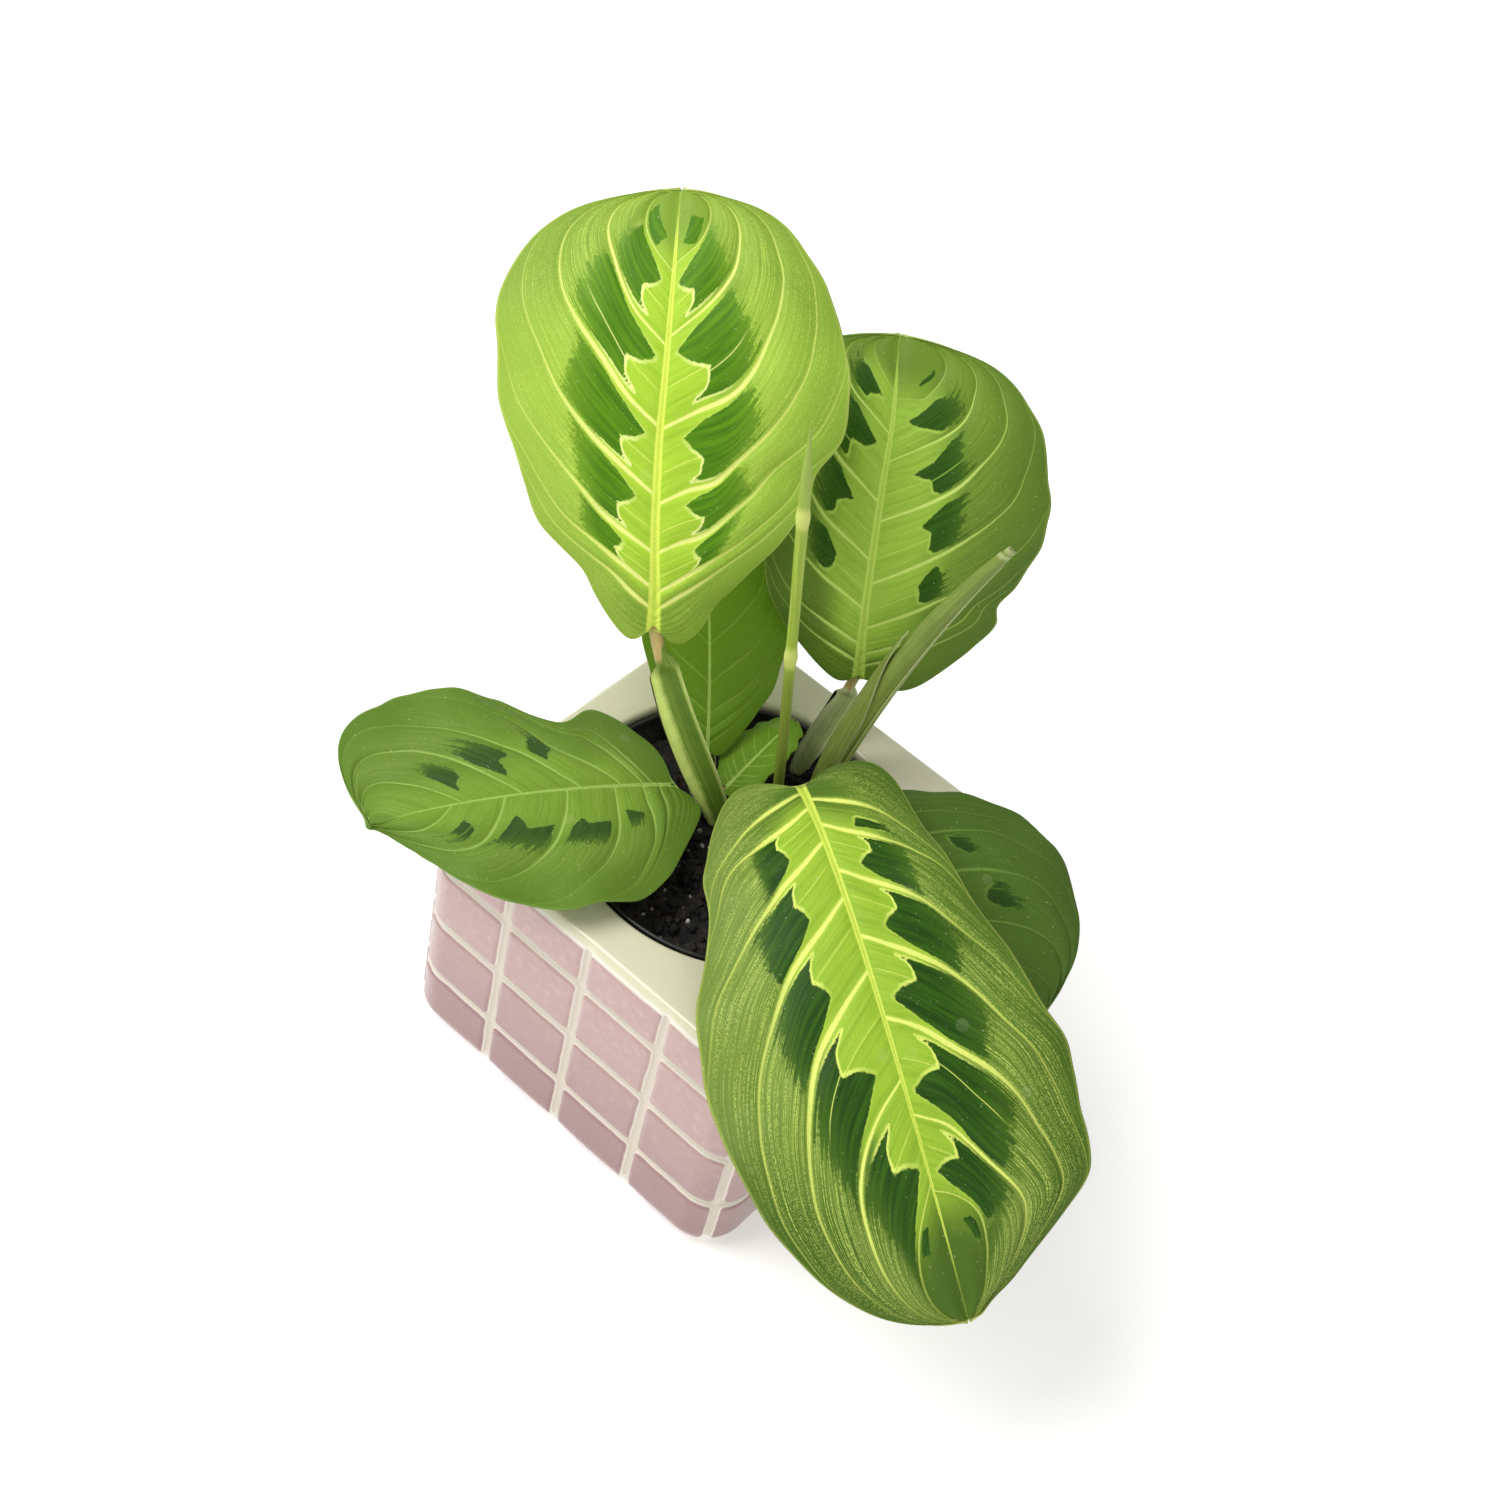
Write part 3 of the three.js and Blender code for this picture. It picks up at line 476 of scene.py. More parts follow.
class Finish:
    """One material, built node by node round a Principled shader."""

    def __init__(self, name, **constants):
        self.material = bpy.data.materials.new(name)
        self.material.use_nodes = True
        self.tree = self.material.node_tree
        self.tree.nodes.clear()
        self.shader = self.node("ShaderNodeBsdfPrincipled", {}, {
            key.replace("_", " "): value for key, value in constants.items()})
        self.node("ShaderNodeOutputMaterial", {}, {"Surface": self.shader.outputs["BSDF"]})
        self.place = self.node("ShaderNodeTexCoord", {}, {}).outputs["Object"]

    def node(self, kind, given, sockets):
        """Adds a node, sets it up, and then fills its sockets with values or links."""
        node = self.tree.nodes.new(kind)
        for key, value in given.items():
            if key == "stops":
                self.set_stops(node.color_ramp, value)
            else:
                setattr(node, key, value)
        for place, value in sockets.items():
            socket = node.inputs[place]
            if isinstance(value, Wire):
                self.tree.links.new(value.socket, socket)
            elif isinstance(value, bpy.types.NodeSocket):
                self.tree.links.new(value, socket)
            else:
                socket.default_value = value
        return node

    @staticmethod
    def set_stops(ramp, stops):
        while len(ramp.elements) > 1:
            ramp.elements.remove(ramp.elements[-1])
        ramp.elements[0].position = stops[0][0]
        ramp.elements[0].color = stops[0][1]
        for place, colour in stops[1:]:
            ramp.elements.new(place).color = colour

    def wear(self, **wires):
        """Links what varies over the surface to the shader."""
        for key, value in wires.items():
            socket = self.shader.inputs[key.replace("_", " ")]
            self.tree.links.new(value.socket if isinstance(value, Wire) else value, socket)
        return self.material

    def number(self, name):
        node = self.node("ShaderNodeAttribute", {"attribute_name": name}, {})
        return Wire(self, node.outputs["Fac"])

    def parts(self, vector):
        """The X, Y and Z of a vector."""
        node = self.node("ShaderNodeSeparateXYZ", {}, {0: vector})
        return [Wire(self, socket) for socket in node.outputs]

    def uv(self, name):
        """The two coordinates of a UV map."""
        return self.parts(self.node("ShaderNodeUVMap", {"uv_map": name}, {}).outputs["UV"])[:2]

    def vector(self, x, y, z):
        return self.node("ShaderNodeCombineXYZ", {}, {0: x, 1: y, 2: z}).outputs[0]

    def noise(self, scale, detail=2, roughness=0.5, at=None):
        """Cloudy noise over the object's own coordinates, or over a vector."""
        node = self.node("ShaderNodeTexNoise", {}, {
            "Vector": self.place if at is None else at, "Scale": scale, "Detail": detail,
            "Roughness": roughness})
        return Wire(self, node.outputs["Fac"])

    def dots(self, scale):
        """Distance to the nearest of many scattered points."""
        node = self.node("ShaderNodeTexVoronoi", {}, {"Vector": self.place, "Scale": scale})
        return Wire(self, node.outputs["Distance"])

    def mix(self, factor, first, second, blend="MIX"):
        """A colour between two, each a hex code or a socket."""
        colours = [rgba(side) if isinstance(side, str) else side for side in (first, second)]
        node = self.node("ShaderNodeMix", {"data_type": "RGBA", "blend_type": blend}, {
            0: factor, 6: colours[0], 7: colours[1]})
        return node.outputs[2]

    def layers(self, colour, coats):
        """A colour with others laid over it, each with the share that it covers."""
        for share, coat in coats:
            colour = self.mix(share, colour, coat)
        return colour

    def mottle(self, colour, shade):
        """A colour made lighter or darker by a number near 1."""
        return self.mix(1, colour, self.vector(shade, shade, shade), "MULTIPLY")

    def bump(self, height, distance, strength):
        node = self.node("ShaderNodeBump", {}, {
            "Height": height, "Distance": distance, "Strength": strength})
        return node.outputs["Normal"]


def through(values, x):
    """A smooth curve through values at even steps of x from 0 to 1."""
    last = len(values) - 1
    place = min(max(x, 0) * last, last - 1e-9)
    step = int(place)
    f = place - step
    before = values[step - 1] if step > 0 else 2 * values[0] - values[1]
    after = 2 * values[last] - values[last - 1] if step + 2 > last else values[step + 2]
    start, end = values[step], values[step + 1]
    bend = 2 * before - 5 * start + 4 * end - after + f * (3 * (start - end) + after - before)
    return start + 0.5 * f * (end - before + f * bend)


def smooth(x, low, high):
    share = min(max((x - low) / (high - low), 0), 1)
    return share * share * (3 - 2 * share)


def cubic(points, share):
    rest = 1 - share
    weights = (rest ** 3, 3 * rest * rest * share, 3 * rest * share * share, share ** 3)
    return sum((Vector(point) * weight for point, weight in zip(points, weights)), Vector())


def heading(points, share):
    rest = 1 - share
    steps = [Vector(end) - Vector(start) for start, end in zip(points, points[1:])]
    weights = (rest * rest, 2 * rest * share, share * share)
    return sum((step * weight for step, weight in zip(steps, weights)), Vector()).normalized()


def add_object(name, bm):
    """Makes a finished bmesh an object of the scene."""
    mesh = bpy.data.meshes.new(name)
    bm.to_mesh(mesh)
    bm.free()
    made = bpy.data.objects.new(name, mesh)
    bpy.context.scene.collection.objects.link(made)
    return made


def add_piece(name, bm, materials, nodes):
    """Adds an object that rides on the part and stands for its solids."""
    piece = add_object(name, bm)
    piece.data.shade_smooth()
    for material in materials:
        piece.data.materials.append(material)
    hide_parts(*nodes)
    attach(piece, "root")
    return piece


def thicken(piece, thickness):
    """Gives a sheet its thickness, behind its face."""
    shell = piece.modifiers.new("thickness", "SOLIDIFY")
    shell.thickness = thickness
    shell.offset = -1
    return shell


def close_skin(bm, gap):
    """Merges doubles, fills what is open and turns the faces outwards."""
    bmesh.ops.remove_doubles(bm, verts=bm.verts, dist=gap)
    bmesh.ops.holes_fill(bm, edges=[edge for edge in bm.edges if edge.is_boundary], sides=0)
    bmesh.ops.recalc_face_normals(bm, faces=bm.faces)


def rolled_skin(lengthwise, around, place):
    """A closed skin on a grid rolled into a tube; place(share, turn) is its point in millimetres."""
    bm = bmesh.new()
    bmesh.ops.create_grid(bm, x_segments=around, y_segments=lengthwise, size=0.5)
    chart = bm.loops.layers.uv.new("skin")
    for face in bm.faces:
        for loop in face.loops:
            loop[chart].uv = (loop.vert.co.x + 0.5, loop.vert.co.y + 0.5)
    for vertex in bm.verts:
        vertex.co = place(vertex.co.y + 0.5, vertex.co.x + 0.5) * MM
    close_skin(bm, FINE_GAP)
    return bm


# Leaf blades
def rib_frame(leaf, share):
    point = cubic(leaf.rib, share)
    along = heading(leaf.rib, share)
    start, end = (Vector(face).normalized() for face in leaf.face)
    face = start.lerp(end, share)
    up = (face - along * face.dot(along)).normalized()
    return point, along, up, up.cross(along)


def lobe(distance):
    return sin(pi * min(distance / LOBE_END, 1) ** LOBE_SKEW) ** 2


def vein_drift(leaf, cell, reach, side):
    """How far, in cells, the side veins stray from their plain sweep."""
    return through([through(row, reach) for row in leaf.drift[side]], (cell - 2) / 4)


def cell_at(leaf, share, reach, side):
    """Counts the side veins up to a point: whole numbers lie on veins, which sweep to the tip."""
    bow = VEIN_SLANT * reach + VEIN_HOOK * reach ** 6
    base = (share - VEIN_RISE * bow) / (1 + leaf.fan[side] * bow)
    root = sqrt(base) if base > 0.01 else 0.05 + 5 * base
    starts = leaf.starts[side]
    if root <= starts[0]:
        plain = 1 + (root - starts[0]) / (starts[1] - starts[0])
    elif root >= starts[-1]:
        plain = len(starts) + (root - starts[-1]) / (LAST_END - starts[-1])
    else:
        index = next(place for place, end in enumerate(starts) if root < end)
        plain = index + (root - starts[index - 1]) / (starts[index] - starts[index - 1])
    cell = plain - vein_drift(leaf, plain, reach, side)
    return plain - vein_drift(leaf, cell, reach, side)


def toothed_spot(point, tooth, top, bottom):
    """Outline of a dark spot between two veins, with a lime tooth that juts into it."""
    def between(share):
        return point + (tooth - point) * share
    return [
        (between(0.62), 0.13), (between(0.95), 0.2), (tooth, 0.27), (tooth, 0.41),
        (between(0.42), 0.58), (point, 0.76), (point + 0.3 * (top - point), 0.88),
        (point + 0.6 * (top - point), 0.92), (top, 0.93), (0.6 * top + 0.4 * bottom, 0.6), (bottom, 0.07)]


def leaf_spots(leaf, side):
    """The outlines of one side's dark spots, by cell, each with the blur of the middle beside it."""
    spots = {cell: (outline, 0.16) for cell, outline in leaf.spots[side]}
    spots.update({cell: (toothed_spot(*reaches), 0.06) for cell, *reaches in leaf.teeth[side]})
    return spots


def depth_inside(outline, reach, part, half_width, pitch):
    """Millimetres that a point lies inside an outline, or outside it where that is negative."""
    nearest, inside = 1e9, False
    for (x0, y0), (x1, y1) in zip(outline, outline[1:] + outline[:1]):
        if (y0 > part) != (y1 > part) and reach < x0 + (part - y0) * (x1 - x0) / (y1 - y0):
            inside = not inside
        run, rise = (x1 - x0) * half_width, (y1 - y0) * pitch
        over, up = (reach - x0) * half_width, (part - y0) * pitch
        share = min(max((over * run + up * rise) / max(run * run + rise * rise, 1e-9), 0), 1)
        nearest = min(nearest, hypot(over - share * run, up - share * rise))
    return nearest if inside else -nearest


def blade_width(leaf, station, side):
    width = through([0, *leaf.widths[side], 0], station)
    wander = noise.noise(Vector((station * 13, width / 40 + side * 5, 2)))
    width += MARGIN_WANDER * sin(pi * station) * wander
    for nick_side, at, depth, spread in leaf.edge:
        if nick_side == side:
            width -= depth * exp(-((station - at) / spread) ** 2)
    return width


class BladeRow:
    """What all points of a blade at one station share."""

    def __init__(self, leaf, station):
        self.leaf = leaf
        self.share = (1 - cos(pi * station)) / 2
        self.point, self.along, self.up, self.left = rib_frame(leaf, self.share)
        self.width = [blade_width(leaf, station, side) for side in (0, 1)]
        self.swept = [
            leaf.lobe[side] * lobe(station) - leaf.tip[side] * lobe(1 - station) for side in (0, 1)]
        self.swell = sin(pi * station)
        height, waves, phase = leaf.wave
        self.ripple = [
            height * sin(2 * pi * (waves * self.share + phase) + side * MARGIN_PHASE) for side in (0, 1)]
        self.sway = through(leaf.sway, self.share)

    def at(self, drawn):
        """The point of the plain curved sheet where the pattern has this place across."""
        across = drawn + self.sway * (1 - drawn * drawn)
        side = 0 if across < 0 else 1
        reach = abs(across)
        lift = self.swell * (self.leaf.cup[side] * reach ** 2 + self.ripple[side] * reach ** 2.5)
        offset = across * self.width[side]
        point = self.point - self.along * (self.swept[side] * reach ** 1.5) - self.left * offset
        return point + self.up * lift


def relief(drawn, offset, cell, pitch, scale):
    """Height of the quilting, veins and midrib over the plain sheet, in millimetres."""
    style = settings("leaf")
    reach = abs(drawn)
    part = cell % 1
    beside = min(part, 1 - part) * pitch
    inside = smooth(reach, 0.02, 0.2) * (1 - 0.75 * smooth(reach, 0.55, 1)) * smooth(cell, 0.8, 1.6)
    quilt = style.quilt / MM * (sin(pi * part) ** 0.75 - 0.5) * inside
    groove = style.vein_depth / MM * exp(-(beside / 0.55) ** 2) * (1 - smooth(reach, 0.7, 1))
    channel = 0.45 * exp(-(offset / 1.5) ** 2)
    return scale * (quilt - groove - channel)


def cell_pitch(places, cells, row, column, outward):
    """Millimetres from one side vein to the next, square to them, at a point of the grid."""
    row = min(max(row, 1), len(places) - 2)
    beside = column + outward
    if not 0 <= beside < len(places[row]):
        beside, column = column, column - outward
    down = places[row + 1][column] - places[row - 1][column]
    over = places[row][beside] - places[row][column]
    rise = cells[row + 1][column] - cells[row - 1][column]
    lean = cells[row][beside] - cells[row][column]
    long, skew, wide = down.dot(down), down.dot(over), over.dot(over)
    area = max(long * wide - skew * skew, 1e-9)
    steepness = max(wide * rise * rise - 2 * skew * rise * lean + long * lean * lean, 1e-9)
    return min(sqrt(area / steepness), WIDEST_CELL)


def pattern_at(leaf, spots, cell, reach, half_width, pitch):
    """Depth inside a dark spot, nearness to its frayed far side, and share of the lime middle."""
    outline, blur = spots.get(cell // 1, (None, 0.2))
    middle = 0.42 - 0.03 * cell
    spot, fray = -DEPTH_LIMIT, 0
    if outline:
        spot = depth_inside(outline, reach, cell % 1, half_width, pitch)
        spot = min(max(spot, -DEPTH_LIMIT), DEPTH_LIMIT)
        far = max(place for place, _ in outline)
        near = min(place for place, _ in outline)
        middle = (near + far) / 2
        fray = smooth(reach, middle, far) if cell < LAST_CELL else 0
    lime = smooth(cell, 1, 2.3) * (1 - smooth(cell, LAST_CELL - 0.15, LAST_CELL + 0.3))
    return spot, fray, lime * (1 - smooth(reach, middle - blur, middle + blur))


def blade_mesh(leaf, seed):
    """A blade's upper face, with the pattern's numbers on its vertices."""
    rows, columns = leaf.rows, leaf.columns
    bm = bmesh.new()
    bmesh.ops.create_grid(bm, x_segments=columns, y_segments=rows, size=1)
    layers = [
        bm.verts.layers.float.new(name) for name in ("share", "offset", "pitch", "spot", "fray", "lime")]
    weight_layer = bm.verts.layers.deform.verify()
    chart = bm.loops.layers.uv.new("cells")
    bands = [BladeRow(leaf, row / rows) for row in range(rows + 1)]
    spread = [2 * column / columns - 1 for column in range(columns + 1)]
    places = [[band.at(drawn) for drawn in spread] for band in bands]
    cells = [
        [cell_at(leaf, band.share, abs(drawn), int(drawn >= 0)) for drawn in spread] for band in bands]
    left_cells = [cell_at(leaf, band.share, 0, 0) for band in bands]
    spots = [leaf_spots(leaf, side) for side in (0, 1)]
    poles = ([], [])
    scale = min(max(leaf.widths[0]) / 30, 1)
    grid = {}
    for vertex in bm.verts:
        row = round((vertex.co.y + 1) / 2 * rows)
        column = round((vertex.co.x + 1) / 2 * columns)
        grid[vertex] = (row, column)
        drawn, band = spread[column], bands[row]
        side = int(drawn >= 0)
        cell, place, reach = cells[row][column], places[row][column], abs(drawn)
        pitch = cell_pitch(places, cells, row, column, 1 if side else -1)
        offset = drawn * band.width[side]
        wrinkle = noise.noise(place / 16 + Vector((seed, 0, 0))) * 0.9 + noise.noise(place / 6) * 0.22
        height = relief(drawn, offset, cell, pitch, scale)
        height += scale * wrinkle * smooth(reach, 0.05, 0.5) * band.swell
        pattern = pattern_at(leaf, spots[side], cell, reach, band.width[side], pitch)
        for layer, value in zip(layers, (band.share, offset, pitch, *pattern)):
            vertex[layer] = value
        vertex[weight_layer][0] = exp(-(offset / 1.1) ** 2) * (1 - 0.6 * band.share)
        vertex.co = (place + band.up * height) * MM
        if row in (0, rows):
            poles[row == rows].append(vertex)
    middle = columns / 2
    for face in bm.faces:
        is_left = any(grid[vertex][1] < middle for vertex in face.verts)
        for loop in face.loops:
            row, column = grid[loop.vert]
            cell = left_cells[row] if is_left and column == middle else cells[row][column]
            loop[chart].uv = (cell, spread[column])
    for pole in poles:
        bmesh.ops.pointmerge(bm, verts=pole, merge_co=pole[len(pole) // 2].co)
    return bm


def leaf_finish(name, look):
    """The upper face: lime toothed middle, dark spots, bright veins and fine streaks."""
    finish = Finish(name, Specular_IOR_Level=0.15)
    cell, drawn = finish.uv("cells")
    offset, pitch, share, fray, inside, lime = (
        finish.number(layer) for layer in ("offset", "pitch", "share", "fray", "spot", "lime"))
    offset, reach = abs(offset), abs(drawn)
    is_right = drawn.above(0)
    part = cell - cell.floor()

    ragged = finish.noise(1100, 3) - 0.5
    speckle = finish.noise(2600, 2)
    cloud = finish.noise(60, 2)
    streaks = finish.noise(1.1, 3, at=finish.vector(cell * 42 + is_right * 37, reach * 3, 0)) - 0.5
    along = finish.noise(1.6, 3, 0.6, finish.vector(cell * 9 + is_right * 11, reach * 1.6, 3))
    threads = finish.noise(1.3, 2, at=finish.vector(cell * 64 + is_right * 5, reach * 3, 9))

    to_vein = (0.5 - abs(part - 0.5)) * pitch
    vein_half = reach.ramp(
        [(0, 0.6), (0.1, 0.65), (0.3, 1), (0.48, 0.85), (0.62, 0.48), (0.85, 0.28), (1, 0.15)])
    vein_half = vein_half * (1 - cell.step(4.8, 6.8) * 0.7) * look.vein_width
    strength = reach.ramp([(0, 1), (0.38, 1), (0.6, 0.62), (0.8, 0.34), (0.95, 0.2), (1, 0.1)])
    strength = strength * (1 - cell.step(6.3, 6.9) * 0.5) * cell.step(0.4, 0.9) * cell.step(7.4, 7.1)
    strength = strength * (1 - share.step(0.85, 1) * 0.7) * (share.step(0, 0.1) * 0.4 + 0.6) * look.veins
    vein = (to_vein / vein_half + ragged * 0.7).step(1.25, 0.75) * strength
    halo = (to_vein / vein_half).step(2.6, 0.9) * 0.35 * strength
    clear = (to_vein - vein_half).step(0.1, 0.6)

    depth = inside + ragged * 0.6
    softness = fray * 0.45 + 0.1
    spot = (depth + fray * (streaks * 8.5 + ragged * 3)).step(-softness, softness) * clear
    toothed = part.ramp([(0, 0), (0.14, 0.9), (0.46, 0.9), (0.62, 0.35), (1, 0)])
    toothed = toothed * fray.step(0.5, 0) * (1 - cell.above(LAST_CELL))
    outline = abs(depth + 0.22).step(0.42, 0.08) * toothed * clear

    lime = lime * look.middle
    branch = (abs(part - 0.43 + ragged * 0.03) * pitch).step(0.3, 0.06)
    twigs = (abs(part - 0.2) * pitch).step(0.24, 0.04).most((abs(part - 0.7) * pitch).step(0.24, 0.04))
    lines = (branch * 0.7).most(twigs * 0.22) * lime * (1 - spot) * offset.step(0.6, 2)
    hair = (abs(part - 0.31 - reach * 0.22) * pitch).step(0.2, 0.05) * spot * 0.7
    hair = hair * (cell.above(5) - cell.above(6)) * fray.step(0.9, 0.3)

    rib_half = share.ramp([(0, 1.7), (0.15, 1.2), (0.45, 0.9), (0.62, 0.7), (0.8, 0.45), (1, 0.15)])
    rib_half = rib_half * look.rib_width
    rib_fade = 1 - share.step(0.84, 0.97) * 0.8
    rib = (offset + ragged * 0.2).step(rib_half * 1.15, rib_half * 0.75) * rib_fade
    dots = speckle.step(0.4, 0.6) * 0.35 + 0.25
    rib_line = offset.step(rib_half * 0.5, rib_half * 0.15) * dots * rib_fade

    beyond = fray.step(0.6, 1) * reach.step(0.8, 0.55) * threads.step(0.4, 0.6)
    fine = threads.step(0.53, 0.62) * speckle.step(0.4, 0.58)
    brush = (fine * 0.75 + along.step(0.5, 0.75) * 0.2) * reach.step(0.3, 0.55)
    brush = brush * (1 - reach.step(0.82, 1) * 0.8) * look.streaks
    # painted shade: the tip, and less the base, darken by look.tip; where it is negative they lighten as
    # painted light
    ends = (share.step(0.6, 0.95) + share.step(0.2, 0.02) * 0.8) * look.tip
    margin_tone_and_end_shade = (reach.step(0.45, 1) * 0.55 + cloud.step(0.3, 0.7) * 0.3 + ends).most(0)
    # painted light: the outer part of one side is made paler where the light falls on it
    left_lit, right_lit = look.lit
    lit = (is_right * (right_lit - left_lit) + left_lit) * reach.step(0.45, 0.85) * share.step(0.85, 0.6)

    drop = finish.dots(95)
    mark = (drop.step(0.14, 0.1) + abs(drop - 0.13).step(0.022, 0.006)) * 0.5
    dust = finish.noise(1500, 1).step(0.72, 0.78)
    zone = finish.mix(along.step(0.4, 0.75), look.zone, look.zone_deep)
    blotch = finish.layers(look.spot_deep, [(along.step(0.3, 0.75), look.spot), (fray * 0.3, look.outer)])
    colour = finish.layers(look.outer, [
        (margin_tone_and_end_shade.least(1), look.outer_far_and_shade), ((brush + beyond * 0.35).least(1), look.streak),
        (lit, look.streak), (lime, zone), (halo, look.rib), (spot, blotch), (outline, look.outline),
        (lines, look.line), (hair, look.outline), (vein, look.vein), (rib, look.rib),
        (rib_line, look.zone_deep), (reach.step(0.98, 0.995) * 0.25, look.vein),
        (mark * cloud.step(0.5, 0.7) * 0.13 + dust * 0.3, "D4DCB0")])
    colour = finish.mottle(colour, speckle * 0.2 + cloud * 0.16 + 0.82)
    grain = finish.noise(1800, 3) * 0.6 + along * 0.5 + threads * 0.3 + lines * 0.8
    normal = finish.bump(grain, 0.00018, 0.7)
    return finish.wear(Base_Color=colour, Roughness=finish.noise(500, 2) * 0.16 + 0.4, Normal=normal)


def underside_finish(name, look):
    """The back of a blade: paler and greyer, with raised pale veins."""
    finish = Finish(name)
    cell = finish.uv("cells")[0]
    vein = ((0.5 - abs(cell - cell.floor() - 0.5)) * finish.number("pitch")).step(0.55, 0.15)
    rib = abs(finish.number("offset")).step(1.4, 0.6)
    shade = finish.noise(300, 3)
    colour = finish.layers((*settings("leaf").underside, 1), [
        (shade.step(0.3, 0.7) * 0.5, look.outer), (vein.most(rib) * 0.6, look.vein)])
    normal = finish.bump(vein * 0.8 + shade * 0.3, 0.0003, 0.6)
    return finish.wear(Base_Color=colour, Roughness=shade * 0.1 + 0.5, Normal=normal)


class PLANT_OT_blades(bpy.types.Operator):
    """Adds the seven leaf blades with their pattern"""
    bl_idname = "plant.blades"
    bl_label = "Leaf Blades"

    def execute(self, context):
        style = context.scene.plant_leaf
        uppers = {name: leaf_finish("leaf_" + name, look) for name, look in LOOKS.items()}
        unders = {name: underside_finish("leaf_back_" + name, look) for name, look in LOOKS.items()}
        for seed, (name, leaf) in enumerate(LEAVES.items()):
            kind = leaf.look
            finishes = [uppers[kind], unders[kind]]
            piece = add_piece(name + "_blade", blade_mesh(leaf, seed), finishes, [name])
            piece.vertex_groups.new(name="ridge")
            shell = thicken(piece, style.ridge)
            shell.vertex_group = "ridge"
            shell.thickness_vertex_group = style.thickness / style.ridge
            shell.material_offset = 1
        return {"FINISHED"}


# Stalks and their sheaths
def stem_axes(points, face, share):
    """Centre, way across and way to the front of a stem's section."""
    direction = heading(points, share)
    front = (face - direction * face.dot(direction)).normalized()
    return cubic(points, share), front.cross(direction), front


def above_soil(share, buried):
    """A stem's share above the soil, and how deep a place in its buried first part lies."""
    return max(share * (1 + buried) - buried, 0), Vector((0, 0, max(1 - share / buried, 0) * FOOT_DEPTH))


def stem_surface(stem, above, depth, size, angle):
    """The point of a round stem's skin at an angle, depth under its axis."""
    centre, across, front = stem_axes(stem.axis, stem.face, above)
    size *= through(stem.radii, above)
    return centre - depth + across * (size * cos(angle)) + front * (size * sin(angle))


def joint_radius(leaf):
    return 0.3 + 0.3 * leaf.sheath


def stalk_line(leaf):
    """The stalk's curve, from the soil to just under the blade, and the way its front looks."""
    point, _, up, _ = rib_frame(leaf, 0)
    arrival = (point - Vector(leaf.bend[1])).normalized()
    rise = joint_radius(leaf) * sqrt(1 - arrival.dot(up) ** 2)
    seat = point - up * (SOLID_BLADE + SOLID_RIB + SEAT_GAP + rise - SEAT_SINK)
    start = Vector((*leaf.foot, SOIL_TOP))
    return [start, *leaf.bend, seat], up


def sheath_point(leaf, line, face, share, turn):
    """A stalk's skin: an open channel with thin wings below, and a round joint at the top."""
    above, depth = above_soil(share, SHEATH_BURIED)
    centre, across, front = stem_axes(line, face, above)
    size = leaf.sheath
    joint = joint_radius(leaf)
    closing = smooth(above, 0.8, 0.84)
    angle = 2 * pi * turn
    side, ahead = cos(angle), sin(angle)
    later = smooth(above, 0.84, 0.89) if side < 0 else closing
    body = size * through([0.72, 0.86, 0.98, 1.02, 0.98, 0.9, 0.9], above)
    wide = body + (joint - body) * (later * abs(side) ** 3 + closing * (1 - abs(side) ** 3))
    thin = through([2.2, 2.1, 1.9, 1.7, 1.5, joint, joint], above)
    openness = through([0.2, 0.5, 0.8, 0.9, 0.8, 0.5, 0], above) * (1 - closing)
    wings = through([0.1, 0.5, 1.0, 1.2, 1.0, 0.4, 0], above) * (1 - closing)
    curl = wings * abs(side) ** 4
    if turn < 0.5:
        x = wide * side
        y = -thin * ahead + curl
    else:
        x = wide * side * (1 - 0.06 * openness)
        closed = -thin * ahead
        channel = (thin - 0.9) * ahead + curl
        y = closed + (channel - closed) * openness
    ribs = 0.05 * cos(angle * SHEATH_RIDGES) * min(wings, 1)
    return centre - depth + across * x + front * (y + ribs)


def stalk_finish(name, look):
    """A ridged sheath with pale wings, and a tan joint under the blade."""
    finish = Finish(name, Specular_IOR_Level=0.3)
    turn, share = finish.uv("skin")
    left = (turn * 2 * pi).cosine()
    right = -left
    stripes = finish.noise(1.6, 3, at=finish.vector(turn * 34, share * 1.4, 0))
    cloud = finish.noise(260, 3)
    body = share.step(0.86, 0.8)
    late = right.step(0.1, 0.6) * 0.06
    colour = finish.layers(look.ridge, [
        (stripes.step(0.3, 0.7), look.skin), (share.step(0.5, 0.1) * 0.4, look.ridge),
        # painted shade: a darker band in the open channel, right of the middle
        ((cloud * 0.3 + right).step(0, 0.4) * right.step(0.9, 0.7) * body * 0.75, look.ridge),
        ((left + cloud * 0.3).step(0.35, 0.85) * body * 0.9, look.wing),
        (right.step(0.7, 0.95) * body * 0.6, look.wing),
        (abs(left).step(0.975, 0.998) * body * 0.8, look.rim),
        ((share + cloud * 0.04 - late).step(0.87, 0.9), look.joint)])
    colour = finish.mottle(colour, cloud * 0.5 + 0.72)
    normal = finish.bump(stripes + cloud * 0.3, 0.0004, 0.8)
    return finish.wear(Base_Color=colour, Roughness=cloud * 0.15 + 0.38, Normal=normal)


class PLANT_OT_stalks(bpy.types.Operator):
    """Adds the leaf stalks with their sheaths and joints"""
    bl_idname = "plant.stalks"
    bl_label = "Leaf Stalks"

    def execute(self, context):
        skins = {name: stalk_finish("stalk_" + name, look) for name, look in STALK_LOOKS.items()}
        for name, leaf in LEAVES.items():
            line, face = stalk_line(leaf)
            bm = rolled_skin(*STALK_GRID, lambda share, turn: sheath_point(leaf, line, face, share, turn))
            add_piece(name + "_stalk_skin", bm, [skins[leaf.stalk]], [name + "_stalk"])
        return {"FINISHED"}


# Rolled new leaves
SPIKE_GRID = (160, 40)
ROLL_TURNS = 2.1
SHEATH_SHARE = 0.66
SHEATH_CHART = 2


